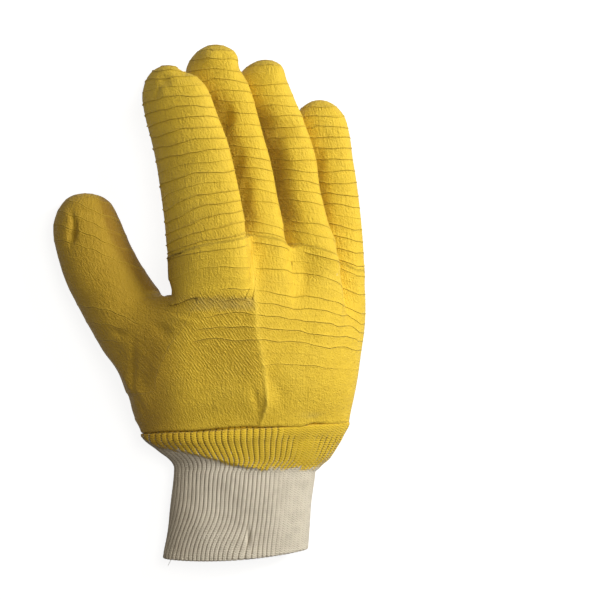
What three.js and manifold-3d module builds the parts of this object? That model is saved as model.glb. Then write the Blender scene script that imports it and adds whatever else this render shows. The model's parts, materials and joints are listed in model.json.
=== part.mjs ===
// A right-hand work glove: cotton jersey dipped in crinkled yellow latex, with a rib-knit wrist.
// It lies back up, as it is laid down: the cuff, the heel, the little finger and the thumb touch the
// floor, and each finger from there on rests on the next. Millimetres, +Z up, +Y from the wrist
// towards the fingertips, the thumb on the -X side.
import * as THREE from "three";
import { mergeVertices } from "three/addons/utils/BufferGeometryUtils.js";
import Module from "manifold-3d";

const wasm = await Module();
wasm.setup();

// Driving dimensions.
const clearance = 0.3; // between two pieces that meet
const shellWall = 1.7; // jersey with its latex coat
const knitWall = 2.4; // relaxed rib knit
const cuffLength = 46; // the bare rib, from its mouth to the coated rib
const cuffWidth = 72;
const cuffHeight = 23;
const bandLength = 21; // the rib that took the dip, from the cuff to the hem
const tuck = 3; // how far the rib goes up inside the hem
const ribs = 72; // wales round the cuff
const ribDepth = 0.8;
const handLength = 91; // hem to the crotches of the fingers
const handWidth = 104;
const handHeight = 40;
const hemSlant = 0.055; // rise of the hem for each millimetre across
const fingerTilt = 24; // degrees that each finger is rolled on to its neighbour
const fingerGap = 1.1; // air between two fingers that lie on each other
const thumbWidth = 38;
const thumbDepth = 26;
const tipRound = 0.42; // how much of a finger's width its tip is rounded over
const rootBlend = 0.34; // share of the thumb over which it turns round from the shape of its hole
const mouthBow = 8.6; // rise of the cuff's mouth one cuffWidth away from its lowest place
const mouthLow = -0.11; // that place, in shares of cuffWidth
const webDrop = 1.2; // the hollow between two fingers ends this much below their wall

const hemAt = cuffLength + bandLength;
const crotchAt = hemAt + handLength;

// Columns of the skin: across the back or the palm of one finger, round its side, and in the web.
const backColumns = 5;
const sideColumns = 3;
const webColumns = 1;
const handRows = 13;
const fingerRows = 10;
const tipTurns = [26, 48, 66, 80]; // degrees round a fingertip where its rows lie
const knitSides = 48;

// Each finger: length above crotchAt, width, depth and place across the hand; the angles round its
// section, clockwise, where its back, its right side, its palm side and its left side begin.
const fingers = [
  { name: "index", length: 92, width: 43, depth: 18.4, across: -0.005, turns: [150, -20, -100, -150] },
  { name: "middle", length: 103, width: 35.5, depth: 17.4, across: 0.215, turns: [85, -20, -100, -200] },
  { name: "ring", length: 96, width: 33, depth: 17, across: 0.462, turns: [85, -20, -100, -200] },
  { name: "little", length: 76, width: 29.5, depth: 16.6, across: 0.612, turns: [85, 30, -30, -200] },
];
const crotches = [-3, 5.6, 1, -6.5, -12]; // height above crotchAt of each side, from the index's left on

// Reach is a share of the finger's length, drift of the centre a share of its width, and width and
// depth are shares of the finger's own.
const fingerSections = {
  index: [
    { reach: 0.0, drift: -0.01, width: 1.07, depth: 1.06 },
    { reach: 0.15, drift: -0.06, width: 1.02, depth: 1.02 },
    { reach: 0.3, drift: -0.115, width: 1.0, depth: 1.0 },
    { reach: 0.44, drift: -0.17, width: 0.98, depth: 0.98 },
    { reach: 0.57, drift: -0.235, width: 0.965, depth: 0.98 },
    { reach: 0.7, drift: -0.32, width: 0.93, depth: 0.98 },
    { reach: 0.83, drift: -0.4, width: 0.88, depth: 0.96 },
    { reach: 1.0, drift: -0.47, width: 0.84, depth: 0.92 },
  ],
  middle: [
    { reach: 0.0, drift: 0.02, width: 1.0, depth: 1.06 },
    { reach: 0.1, drift: -0.06, width: 1.0, depth: 1.02 },
    { reach: 0.24, drift: -0.15, width: 1.0, depth: 1.0 },
    { reach: 0.4, drift: -0.24, width: 1.0, depth: 0.98 },
    { reach: 0.61, drift: -0.4, width: 1.0, depth: 0.98 },
    { reach: 0.74, drift: -0.5, width: 0.98, depth: 0.98 },
    { reach: 0.86, drift: -0.57, width: 0.93, depth: 0.96 },
    { reach: 1.0, drift: -0.57, width: 0.88, depth: 0.92 },
  ],
  ring: [
    { reach: 0.0, drift: 0.01, width: 1.0, depth: 1.08 },
    { reach: 0.13, drift: -0.13, width: 1.0, depth: 1.02 },
    { reach: 0.3, drift: -0.255, width: 1.0, depth: 1.0 },
    { reach: 0.47, drift: -0.32, width: 1.0, depth: 0.97 },
    { reach: 0.61, drift: -0.44, width: 1.0, depth: 0.98 },
    { reach: 0.75, drift: -0.59, width: 0.97, depth: 0.98 },
    { reach: 0.87, drift: -0.68, width: 0.93, depth: 0.96 },
    { reach: 1.0, drift: -0.64, width: 0.88, depth: 0.92 },
  ],
  little: [
    { reach: 0.0, drift: -0.015, width: 1.0, depth: 1.1 },
    { reach: 0.14, drift: -0.045, width: 1.0, depth: 1.04 },
    { reach: 0.33, drift: -0.09, width: 1.0, depth: 1.0 },
    { reach: 0.5, drift: -0.15, width: 1.0, depth: 1.0 },
    { reach: 0.66, drift: -0.225, width: 0.98, depth: 1.0 },
    { reach: 0.83, drift: -0.3, width: 0.95, depth: 0.98 },
    { reach: 1.0, drift: -0.3, width: 0.88, depth: 0.92 },
  ],
};

// The hand from hem to crotches: reach is a share of handLength; side and half are shares of
// handWidth; lift, up and down are shares of handHeight; tilt is in degrees.
const handSections = [
  { reach: 0.0, side: 0.163, lift: 0.35, half: 0.51, up: 0.36, down: 0.37, tilt: 0 },
  { reach: 0.17, side: 0.145, lift: 0.4, half: 0.552, up: 0.44, down: 0.43, tilt: -1 },
  { reach: 0.3, side: 0.141, lift: 0.44, half: 0.575, up: 0.5, down: 0.47, tilt: -3 },
  { reach: 0.46, side: 0.185, lift: 0.49, half: 0.55, up: 0.54, down: 0.5, tilt: -7 },
  { reach: 0.63, side: 0.245, lift: 0.54, half: 0.515, up: 0.54, down: 0.47, tilt: -12 },
  { reach: 0.82, side: 0.285, lift: 0.57, half: 0.5, up: 0.5, down: 0.4, tilt: -17 },
  { reach: 1.0, side: 0.265, lift: 0.58, half: 0.51, up: 0.36, down: 0.34, tilt: -21 },
];
const lobesFrom = 0.5; // share of handLength where the fingers' roots start to show
const foldAt = 0.23; // the fold down the back, as a share of handWidth
const foldHalf = 0.085; // its half width, as a share of handWidth
const foldRise = 0.05; // share of handHeight

// The thumb's centre line from its root in the side of the hand: out and along are millimetres in
// shares of thumbWidth from x = 0 and the hem, lift is a share of thumbDepth, width and depth are
// shares of the thumb's own. The last row is the tip.
const thumbSections = [
  { reach: 0.0, out: -0.66, along: 0.9, lift: 0.66, width: 1.3, depth: 1.24 },
  { reach: 0.14, out: -0.87, along: 1.16, lift: 0.63, width: 1.17, depth: 1.2 },
  { reach: 0.3, out: -1.11, along: 1.48, lift: 0.59, width: 1.07, depth: 1.12 },
  { reach: 0.44, out: -1.28, along: 1.75, lift: 0.54, width: 1.03, depth: 1.06 },
  { reach: 0.58, out: -1.43, along: 2.04, lift: 0.5, width: 1.0, depth: 1.02 },
  { reach: 0.72, out: -1.55, along: 2.36, lift: 0.465, width: 0.97, depth: 0.98 },
  { reach: 0.86, out: -1.625, along: 2.7, lift: 0.445, width: 0.92, depth: 0.94 },
  { reach: 1.0, out: -1.6, along: 3.13, lift: 0.425, width: 0.88, depth: 0.9 },
];
const thumbHole = { from: 3, to: 9, back: 2, palm: 2 }; // rows, and columns past the hand's side
const thumbRows = 11;

// The rib's flare from cuff to hem: share of the band's length, share of the way out to the hem, and
// how far the stiff band hangs over on the little finger's side, in shares of cuffWidth.
const bandSections = [
  { reach: 0.0, flare: 0.0, over: 0.03 },
  { reach: 0.2, flare: 0.16, over: 0.07 },
  { reach: 0.45, flare: 0.54, over: 0.05 },
  { reach: 0.72, flare: 0.89, over: 0.024 },
  { reach: 1.0, flare: 1.0, over: 0.0 },
];

// The cuff runs a little to one side and its mouth is wider: shares of cuffLength and cuffWidth.
const cuffSections = [
  { reach: 0.0, side: 0.165, half: 0.514 },
  { reach: 0.4, side: 0.197, half: 0.502 },
  { reach: 1.0, side: 0.229, half: 0.502 },
];
const cuffSink = 0.09; // share of the cuff's height that lies flattened on the floor

// Dents and folds pressed into the coat from above. Across and wide are shares of handWidth, along
// and long of handLength, both from the hem; depth is in wall thicknesses.
const dents = [
  { name: "ring knuckle", across: 0.35, along: 1.625, wide: 0.09, long: 0.08, depth: 1.8 },
  { name: "middle side", across: 0.065, along: 1.755, wide: 0.07, long: 0.12, depth: 1.0 },
  { name: "index tip", across: -0.26, along: 1.945, wide: 0.05, long: 0.06, depth: 1.2 },
  { name: "thumb tip", across: -0.6, along: 1.1, wide: 0.05, long: 0.1, depth: 1.2 },
  { name: "thumb web", across: -0.1, along: 0.56, wide: 0.2, long: 0.13, depth: 2.6 },
  { name: "hem pleat", across: 0.2, along: 0.13, wide: 0.05, long: 0.2, depth: 1.0 },
];

const radians = THREE.MathUtils.degToRad;
const { lerp, clamp, smoothstep } = THREE.MathUtils;

// A smooth reading of one column of a table at a reach, by a Catmull-Rom through the nearest rows.
function read(table, reach, name) {
  let i = table.findIndex((row) => row.reach >= reach);
  if (i < 0) i = table.length - 1;
  if (i === 0) i = 1;
  const s = clamp((reach - table[i - 1].reach) / (table[i].reach - table[i - 1].reach), 0, 1);
  const value = (j) => table[clamp(j, 0, table.length - 1)][name];
  const [a, b, c, d] = [value(i - 2), value(i - 1), value(i), value(i + 1)];
  return 0.5 * (2 * b + (c - a) * s + (2 * a - 5 * b + 4 * c - d) * s * s + (3 * b - a - 3 * c + d) * s ** 3);
}

// The dents press a point of the coat down, and nothing goes below the floor.
function settle(point, floor = 0) {
  for (const dent of dents) {
    const dx = (point.x - dent.across * handWidth) / (dent.wide * handWidth);
    const dy = (point.y - hemAt - dent.along * handLength) / (dent.long * handLength);
    const high = smoothstep(point.z, 0.3 * handHeight, 0.5 * handHeight);
    point.z -= dent.depth * shellWall * high * Math.exp(-(dx * dx + dy * dy));
  }
  point.z = Math.max(point.z, floor);
  return point;
}

// A point of an oval at an angle, its plane square to Y.
function ovalPoint({ x, y, z, half, up, down, tilt }, degrees) {
  const [c, s] = [Math.cos(radians(degrees)), Math.sin(radians(degrees))];
  const [along, off] = [half * c, (s > 0 ? up : down) * s];
  const [ct, st] = [Math.cos(radians(tilt)), Math.sin(radians(tilt))];
  return new THREE.Vector3(x + along * ct - off * st, y, z + along * st + off * ct);
}

// A finger's section at a height y.
function fingerAt(finger, y) {
  const reach = clamp((y - crotchAt) / finger.length, 0, 1);
  const table = fingerSections[finger.name];
  const lean = (read(table, 0.1, "drift") - read(table, 0, "drift")) / (0.1 * finger.length);
  const drift = read(table, reach, "drift") + lean * Math.min(0, y - crotchAt);
  return {
    x: finger.across * handWidth + drift * finger.width,
    half: (read(table, reach, "width") * finger.width) / 2,
    thick: (read(table, reach, "depth") * finger.depth) / 2,
  };
}

// How far a finger's centre lies above the finger that it rests on, so that fingerGap is left.
function riseOver(upper, lower) {
  const [ct, st] = [Math.cos(radians(fingerTilt)), Math.sin(radians(fingerTilt))];
  const dx = lower.x - upper.x;
  const [wide, thick] = [upper.half + lower.half, upper.thick + lower.thick];
  let rise = thick / 2;
  for (let i = 0; i < 8; i++) {
    const u = clamp((dx * ct - rise * st) / wide, -0.9, 0.9);
    rise = (thick * Math.sqrt(1 - u * u) + fingerGap - dx * st) / ct;
  }
  return rise;
}

// Height of a finger's centre: the little finger lies on the floor and each next one on the last.
function heightOf(k, y) {
  const own = fingerAt(fingers[k], y);
  if (k === fingers.length - 1)
    return 0.93 * Math.hypot(own.half * Math.sin(radians(fingerTilt)), own.thick * Math.cos(radians(fingerTilt)));
  const shared = Math.min(y, crotchAt + 0.82 * fingers[k + 1].length);
  return heightOf(k + 1, shared) + riseOver(fingerAt(fingers[k], shared), fingerAt(fingers[k + 1], shared));
}

// A point of finger k at an angle and a height y; close is 1 on its tube and falls to 0 at its tip.
function fingerPoint(k, y, degrees, inset, close = 1) {
  const own = fingerAt(fingers[k], y);
  const [half, thick] = [(own.half - inset) * close, (own.thick - inset) * close ** 0.85];
  const section = { x: own.x, y, z: heightOf(k, y), half, up: thick, down: thick, tilt: fingerTilt };
  return ovalPoint(section, degrees);
}

// A point of the hand's plain oval.
function handPoint(reach, degrees, inset) {
  const at = (name) => read(handSections, reach, name);
  const section = {
    x: at("side") * handWidth, y: 0, z: at("lift") * handHeight, half: at("half") * handWidth - inset,
    up: at("up") * handHeight - inset, down: at("down") * handHeight - inset, tilt: at("tilt"),
  };
  const point = ovalPoint(section, degrees);
  const fold = Math.exp(-(((point.x - foldAt * handWidth) / (foldHalf * handWidth)) ** 2));
  if (point.z > section.z) point.z += foldRise * handHeight * fold * smoothstep(reach, 0, 0.2);
  return point;
}

// Even steps from one number to another.
const steps = (from, to, count) => Array.from({ length: count + 1 }, (_, i) => lerp(from, to, i / count));

// One skin of the whole coat; inset moves it inwards by a wall. It gives its points, its faces, and
// the open loops where the wall is cut: the hem, the thumb's hole and the thumb's own root.
function skin(inset) {
  const points = [];
  const faces = { hand: [], thumb: [] };
  const add = (point) => points.push(settle(point, inset)) - 1;
  const quad = (list, a, b, c, d) => list.push([a, b, c], [a, c, d]);
  const drop = inset ? inset + webDrop : 0;
  const last = fingers.length - 1;
  const crotch = crotches.map((height) => crotchAt + height - drop);

  // The hand's last row follows the roots of the fingers: across the back, then back by the palm.
  const top = [];
  const spans = fingers.map(() => ({}));
  const arc = (k, name, ys, turns) => {
    const start = top.length;
    for (const s of steps(0, 1, backColumns))
      top.push(fingerPoint(k, lerp(ys[0], ys[1], s), lerp(turns[0], turns[1], s), inset));
    spans[k][name] = [start, top.length - 1];
  };
  const between = (count, at) => steps(0, 1, count).slice(1, -1).forEach((s) => top.push(at(s)));
  const bridge = (next) => {
    const from = top.at(-1);
    between(webColumns, (s) => from.clone().lerp(next, s));
  };
  fingers.forEach(({ turns }, k) => {
    if (k) bridge(fingerPoint(k, crotch[k], turns[0], inset));
    arc(k, "back", [crotch[k], crotch[k + 1]], [turns[0], turns[1]]);
  });
  const outer = (k, y, from, to) => between(sideColumns, (s) => fingerPoint(k, y, lerp(from, to, s), inset));
  outer(last, crotch[last + 1], fingers[last].turns[1], fingers[last].turns[2]);
  for (let k = last; k >= 0; k--) {
    const { turns } = fingers[k];
    if (k < last) bridge(fingerPoint(k, crotch[k + 1], turns[2], inset));
    arc(k, "palm", [crotch[k + 1], crotch[k]], [turns[2], turns[3]]);
  }
  outer(0, crotch[0], fingers[0].turns[3], fingers[0].turns[0] - 360);

  // The rows below turn into the plain oval, each column keeping its share of the way round.
  const columns = top.length;
  const corners = [0, spans[last].back[1], spans[last].palm[0], spans[0].palm[1], columns];
  const ovalTurns = [158, 22, -22, -158, -202];
  const way = [0];
  for (let i = 1; i <= columns; i++) way.push(way[i - 1] + top[i - 1].distanceTo(top[i % columns]));
  const turnOf = (i) => {
    const c = Math.max(0, corners.findIndex((corner) => corner > i) - 1);
    const share = (way[i] - way[corners[c]]) / (way[corners[c + 1]] - way[corners[c]]);
    return lerp(ovalTurns[c], ovalTurns[c + 1], share);
  };
  const grid = [];
  for (let r = 0; r < handRows; r++) {
    const reach = r / handRows;
    const lobes = smoothstep(reach, lobesFrom, 1);
    grid.push(
      top.map((root, i) => {
        const plain = handPoint(reach, turnOf(i), inset);
        const hem = hemAt + hemSlant * (plain.x - handSections[0].side * handWidth);
        return add(new THREE.Vector3(
          lerp(plain.x, root.x, lobes), lerp(hem, root.y, reach), lerp(plain.z, root.z, lobes),
        ));
      }),
    );
  }
  grid.push(top.map(add));

  // The hand, but for the hole in its side where the thumb is sewn in.
  const hole = { ...thumbHole, first: corners[3] - thumbHole.palm, end: columns + thumbHole.back };
  const inHole = (r, c) => r >= hole.from && r < hole.to && (c >= hole.first || c + columns < hole.end);
  for (let r = 0; r < handRows; r++)
    for (let c = 0; c < columns; c++) {
      const d = (c + 1) % columns;
      if (!inHole(r, c)) quad(faces.hand, grid[r][c], grid[r][d], grid[r + 1][d], grid[r + 1][c]);
    }

  // The webs: strips from back to palm, between a finger's right side and the next one's left.
  const webs = [];
  for (let k = 1; k <= last; k++) {
    const [left, right] = [fingers[k - 1].turns, fingers[k].turns];
    const web = steps(0, 1, sideColumns).map((s, j) =>
      steps(0, 1, webColumns).map((t, i) => {
        if (j === 0) return grid[handRows][spans[k - 1].back[1] + i];
        if (j === sideColumns) return grid[handRows][spans[k - 1].palm[0] - i];
        const from = fingerPoint(k - 1, crotch[k], lerp(left[1], left[2], s), inset);
        return add(from.lerp(fingerPoint(k, crotch[k], lerp(right[0], right[3] + 360, s), inset), t));
      }),
    );
    for (let j = 0; j < sideColumns; j++)
      for (let i = 0; i < webColumns; i++)
        quad(faces.hand, web[j][i], web[j][i + 1], web[j + 1][i + 1], web[j + 1][i]);
    webs[k] = web;
  }

  // A tube of rings on a loop, closed by a point at its tip.
  const tube = (list, loop, rings, tip) => {
    let under = loop;
    for (const ring of [...rings, null]) {
      const ids = ring ? ring.map(add) : null;
      const top = ring ? null : add(tip);
      for (let c = 0; c < loop.length; c++) {
        const d = (c + 1) % loop.length;
        if (ring) quad(list, under[c], under[d], ids[d], ids[c]);
        else list.push([under[c], under[d], top]);
      }
      under = ids;
    }
  };

  fingers.forEach((finger, k) => {
    const { back, palm } = spans[k];
    const { turns } = finger;
    const range = ([a, b]) => Array.from({ length: b - a + 1 }, (_, i) => grid[handRows][a + i]);
    const inner = (list) => list.slice(1, -1);
    const side = (a, b) => Array.from({ length: b - a - 1 }, (_, i) => grid[handRows][a + 1 + i]);
    const rightSide = k < last ? inner(webs[k + 1].map((row) => row[0])) : side(back[1], palm[0]);
    const leftSide = k ? inner(webs[k].map((row) => row[webColumns])).reverse() : side(palm[1], columns);
    const loop = [...range(back), ...rightSide, ...range(palm), ...leftSide];
    const counts = [backColumns, sideColumns, backColumns, sideColumns];
    const ends = [...turns, turns[0] - 360];
    const angles = counts.flatMap((count, q) => steps(ends[q], ends[q + 1], count).slice(0, -1));
    const base = (crotch[k] + crotch[k + 1]) / 2;
    const tip = crotchAt + finger.length - inset;
    const round = tipRound * finger.width - inset;
    const levels = steps(base, tip - round, fingerRows).slice(1).map((y) => ({ y, close: 1 }));
    for (const turn of tipTurns)
      levels.push({ y: tip - round + round * Math.sin(radians(turn)), close: Math.cos(radians(turn)) });
    const rings = levels.map(({ y, close }) =>
      angles.map((angle, c) => {
        const slope = (points[loop[c]].y - base) * clamp(1 - (y - base) / (0.6 * finger.length), 0, 1);
        return fingerPoint(k, y + slope, angle, inset, close);
      }),
    );
    tube(faces.hand, loop, rings, fingerPoint(k, tip, 0, inset, 0));
  });

  // The thumb grows out of its hole's edge: up the back, round the crotch, down the palm, round the heel.
  const at = (r, c) => grid[r][c % columns];
  const edge = [];
  for (let r = hole.from; r < hole.to; r++) edge.push(at(r, hole.end));
  for (let c = hole.end; c > hole.first; c--) edge.push(at(hole.to, c));
  for (let r = hole.to; r > hole.from; r--) edge.push(at(r, hole.first));
  for (let c = hole.first; c < hole.end; c++) edge.push(at(hole.from, c));
  const runs = [hole.to - hole.from, hole.end - hole.first, hole.to - hole.from, hole.end - hole.first];
  const quarters = [135, 45, -45, -135, -225];
  const around = runs.flatMap((count, q) => steps(quarters[q], quarters[q + 1], count).slice(0, -1));
  const reachRound = (tipRound * thumbWidth) / thumbLength;
  const tipReach = 1 - inset / thumbLength;
  const straight = tipReach - reachRound + inset / thumbLength;
  const levels = steps(0, straight, thumbRows).slice(1).map((reach) => ({ reach, close: 1 }));
  for (const turn of tipTurns)
    levels.push({ reach: straight + (tipReach - straight) * Math.sin(radians(turn)), close: Math.cos(radians(turn)) });
  const rings = levels.map(({ reach, close }) => {
    const root = 1 - smoothstep(reach, 0, rootBlend);
    return around.map((angle, c) => {
      const lean = points[edge[c]].clone().sub(thumbPoint(0, angle, inset));
      return thumbPoint(reach, angle, inset, close).addScaledVector(lean, root);
    });
  });
  const first = edge.map((id, c) => {
    const away = rings[0][c].clone().sub(points[id]).normalize();
    return points[id].clone().addScaledVector(away, 1.5 * clearance);
  });
  const root = first.map(add);
  tube(faces.thumb, root, rings, thumbPoint(tipReach, 0, inset, 0));
  return { points, faces, hem: grid[0], edge, root };
}

const thumbLine = new THREE.CatmullRomCurve3(
  thumbSections.map(({ out, along, lift }) =>
    new THREE.Vector3(out * thumbWidth, hemAt + along * thumbWidth, lift * thumbDepth)),
);
const thumbLength = thumbLine.getLength();

// A point of the thumb at a share of its centre line and an angle round it, square to the line.
function thumbPoint(reach, degrees, inset, close = 1) {
  const centre = thumbLine.getPoint(clamp(reach, 0, 1));
  const ahead = thumbLine.getTangent(clamp(reach, 0, 1));
  const side = new THREE.Vector3().crossVectors(ahead, new THREE.Vector3(0, 0, 1)).normalize();
  const up = new THREE.Vector3().crossVectors(side, ahead);
  const half = ((read(thumbSections, reach, "width") * thumbWidth) / 2 - inset) * close;
  const thick = ((read(thumbSections, reach, "depth") * thumbDepth) / 2 - inset) * close ** 0.85;
  centre.addScaledVector(side, half * Math.cos(radians(degrees)));
  return centre.addScaledVector(up, thick * Math.sin(radians(degrees)));
}

// Two skins made into one wall: the outer one, the inner one turned round, and a rim on each cut loop.
function wall(name, loops) {
  const [outside, inside] = [skin(0), skin(shellWall)];
  const shift = outside.points.length;
  const faces = [...outside.faces[name], ...inside.faces[name].map(([a, b, c]) => [a + shift, c + shift, b + shift])];
  for (const { loop, flip } of loops) {
    const [o, i] = [outside[loop], inside[loop].map((id) => id + shift)];
    o.forEach((_, c) => {
      const d = (c + 1) % o.length;
      if (flip) faces.push([o[c], o[d], i[d]], [o[c], i[d], i[c]]);
      else faces.push([o[d], o[c], i[c]], [o[d], i[c], i[d]]);
    });
  }
  const geometry = new THREE.BufferGeometry().setFromPoints([...outside.points, ...inside.points]);
  geometry.setIndex(faces.flat());
  return geometry;
}

// A closed skin over a run of rings, its two ends shut by fans.
function loft(rings) {
  const sides = rings[0].length;
  const points = rings.flat();
  const faces = [];
  for (let r = 0; r + 1 < rings.length; r++)
    for (let i = 0; i < sides; i++) {
      const [a, b] = [r * sides + i, r * sides + ((i + 1) % sides)];
      faces.push(a, b + sides, b, a, a + sides, b + sides);
    }
  for (const [ring, first, flip] of [[rings[0], 0, false], [rings.at(-1), (rings.length - 1) * sides, true]]) {
    points.push(ring.reduce((sum, p) => sum.add(p), new THREE.Vector3()).divideScalar(sides));
    for (let i = 0; i < sides; i++) {
      const [a, b] = [first + i, first + ((i + 1) % sides)];
      faces.push(...(flip ? [b, a, points.length - 1] : [a, b, points.length - 1]));
    }
  }
  const geometry = new THREE.BufferGeometry().setFromPoints(points);
  geometry.setIndex(faces);
  return solid(geometry);
}

function solid(geometry) {
  const merged = mergeVertices(geometry);
  return new wasm.Manifold(
    new wasm.Mesh({
      numProp: 3,
      vertProperties: new Float32Array(merged.attributes.position.array),
      triVerts: new Uint32Array(merged.index.array),
    }),
  );
}

// A tube of rib knit: outside with its wales, inside plain, flattened where it lies on the floor.
function knit(sections) {
  const ring = (s, sides, grow, swell = 0) =>
    Array.from({ length: sides }, (_, i) => {
      const by = grow + (i % 2 ? -swell / 2 : swell / 2);
      const point = ovalPoint({ ...s, half: s.half + by, up: s.up + by, down: s.down + by }, (360 * i) / sides);
      point.y += s.slant * (point.x - handSections[0].side * handWidth);
      point.y += s.bow * (point.x / cuffWidth - mouthLow) ** 2;
      return settle(point, s.floor - grow);
    });
  const [first, last] = [sections[0], sections.at(-1)];
  const through = [{ ...first, y: first.y - 5 }, ...sections, { ...last, y: last.y + 5 }];
  const outside = loft(sections.map((s) => ring(s, 2 * ribs, 0, ribDepth)));
  return outside.subtract(loft(through.map((s) => ring(s, knitSides, -knitWall))));
}

function cuffSection(reach) {
  const tall = cuffHeight / 2;
  return {
    x: read(cuffSections, reach, "side") * cuffWidth,
    y: reach * cuffLength,
    z: tall - cuffSink * cuffHeight,
    half: read(cuffSections, reach, "half") * cuffWidth,
    up: tall,
    down: tall,
    tilt: 0,
    slant: 0,
    bow: mouthBow * (1 - reach),
    floor: 0,
  };
}

function bareRib() {
  const list = cuffSections.map(({ reach }) => cuffSection(reach));
  list.at(-1).y -= clearance;
  return knit(list);
}

function coatedRib() {
  const [low, hem] = [cuffSection(1), handSections[0]];
  const inset = shellWall + clearance + ribDepth / 2;
  const high = {
    x: hem.side * handWidth,
    z: hem.lift * handHeight,
    half: hem.half * handWidth - inset,
    up: hem.up * handHeight - inset,
    down: hem.down * handHeight - inset,
    tilt: hem.tilt,
    slant: hemSlant,
    bow: 0,
  };
  const list = bandSections.map(({ reach, flare, over }) => {
    const mixed = Object.fromEntries(Object.keys(high).map((name) => [name, lerp(low[name], high[name], flare)]));
    mixed.x += (over * cuffWidth) / 2;
    mixed.half += (over * cuffWidth) / 2;
    const floor = reach < 1 ? 0 : shellWall + clearance; // it steps up on to the shell inside the hem
    return { ...mixed, y: cuffLength + reach * bandLength, floor };
  });
  return knit([...list, { ...list.at(-1), y: hemAt + tuck }]);
}

const latex = new THREE.MeshStandardMaterial({ color: 0xd9ab1f, roughness: 0.78, metalness: 0 });
const soaked = new THREE.MeshStandardMaterial({ color: 0xd0a01c, roughness: 0.8, metalness: 0 });
const cotton = new THREE.MeshStandardMaterial({ color: 0xcfc8b8, roughness: 0.95, metalness: 0 });

const glove = new THREE.Group();
function place(name, geometry, material) {
  const piece = new THREE.Mesh(geometry, material);
  piece.name = name;
  glove.add(piece);
}

function geometryOf(made) {
  const mesh = made.getMesh();
  const geometry = new THREE.BufferGeometry();
  geometry.setAttribute("position", new THREE.BufferAttribute(new Float32Array(mesh.vertProperties), 3));
  geometry.setIndex(new THREE.BufferAttribute(new Uint32Array(mesh.triVerts), 1));
  return geometry;
}

place("hand_shell", wall("hand", [{ loop: "hem", flip: false }, { loop: "edge", flip: true }]), latex);
place("thumb", wall("thumb", [{ loop: "root", flip: false }]), latex);
place("coated_rib", geometryOf(coatedRib()), soaked);
place("knit_wrist", geometryOf(bareRib()), cotton);

// The origin is the middle of the base that the glove lies on.
const box = new THREE.Box3();
for (const piece of glove.children) box.union(new THREE.Box3().setFromBufferAttribute(usedPoints(piece.geometry)));
const base = new THREE.Vector3((box.min.x + box.max.x) / 2, (box.min.y + box.max.y) / 2, box.min.z);
for (const piece of glove.children) piece.position.sub(base);

function usedPoints(geometry) {
  return geometry.index ? geometry.toNonIndexed().getAttribute("position") : geometry.getAttribute("position");
}

export default glove;
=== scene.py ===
"""Looks of a latex coated work glove that lies back up, with its knit wrist.

Every length in the tables is a share of a named size in millimetres. The surfaces are worked out in
millimetres from the wrist's mouth and moved into the frame, in metres, when a piece is made.
"""

import json
import math

import bpy
import numpy as np
from bpy.props import FloatProperty, FloatVectorProperty, IntProperty, PointerProperty
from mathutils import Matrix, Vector

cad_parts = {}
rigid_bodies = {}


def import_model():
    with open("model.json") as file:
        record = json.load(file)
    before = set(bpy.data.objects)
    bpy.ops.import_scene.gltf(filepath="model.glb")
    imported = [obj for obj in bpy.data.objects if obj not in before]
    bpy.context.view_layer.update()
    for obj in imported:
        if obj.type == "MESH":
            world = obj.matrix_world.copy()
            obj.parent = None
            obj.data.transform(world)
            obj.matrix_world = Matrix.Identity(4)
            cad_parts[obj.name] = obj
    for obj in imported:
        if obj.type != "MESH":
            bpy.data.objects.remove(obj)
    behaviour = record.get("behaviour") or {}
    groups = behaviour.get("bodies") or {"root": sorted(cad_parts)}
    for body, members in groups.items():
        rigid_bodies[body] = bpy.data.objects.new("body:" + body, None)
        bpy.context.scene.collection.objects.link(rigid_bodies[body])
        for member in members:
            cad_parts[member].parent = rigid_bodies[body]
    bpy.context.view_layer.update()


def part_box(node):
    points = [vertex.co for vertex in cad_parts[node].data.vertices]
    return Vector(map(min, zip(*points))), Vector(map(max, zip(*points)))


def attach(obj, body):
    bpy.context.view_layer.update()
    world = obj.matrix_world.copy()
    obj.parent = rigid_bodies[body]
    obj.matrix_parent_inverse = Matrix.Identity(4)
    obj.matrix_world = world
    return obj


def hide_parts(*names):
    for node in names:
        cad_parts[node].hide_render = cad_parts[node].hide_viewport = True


bl_info = {
    "name": "Latex coated grip glove",
    "version": (1, 0, 0),
    "blender": (4, 5, 0),
    "location": "View3D > Sidebar > Glove",
    "description": "Makes the coated skin, the rib cuff and the loose thread of a work glove",
    "category": "Object",
}

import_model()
MM = 0.001

# Driving sizes in millimetres, as in the part's source.
WALL, KNIT_WALL, CLEARANCE = 1.7, 2.4, 0.3
CUFF_LENGTH, CUFF_WIDTH, CUFF_HEIGHT = 46.0, 72.0, 23.0
BAND_LENGTH, TUCK = 21.0, 3.0
HAND_LENGTH, HAND_WIDTH, HAND_HEIGHT = 91.0, 104.0, 40.0
HEM_SLANT, MOUTH_BOW, MOUTH_LOW = 0.055, 8.6, -0.11
FINGER_TILT, FINGER_GAP = 24.0, 1.1
THUMB_WIDTH, THUMB_DEPTH = 38.0, 26.0
TIP_ROUND = 0.42
HEM_AT = CUFF_LENGTH + BAND_LENGTH
CROTCH_AT = HEM_AT + HAND_LENGTH
# How far round its end the rows of a tip run.
TIP_ARC = math.radians(84)

# The parts of the skin by number; the fingers are 1 to 4.
HAND, INDEX, THUMB, WEB = 0, 1, 5, 6
# Distance between the grid's points on each side in millimetres, and the number of steps over a web.
SKIN_STEPS = {"back": 0.95, "palm": 1.4, "side": 1.15, "web": 14, "thumb": 0.85}
LINING_STEPS = {"back": 3.0, "palm": 3.5, "side": 3.0, "web": 3, "thumb": 3.5}
LINING_INSET, LINING_MARKS, LINING_PITCH = 2.9, (0.0, 0.5), 6.0
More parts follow.
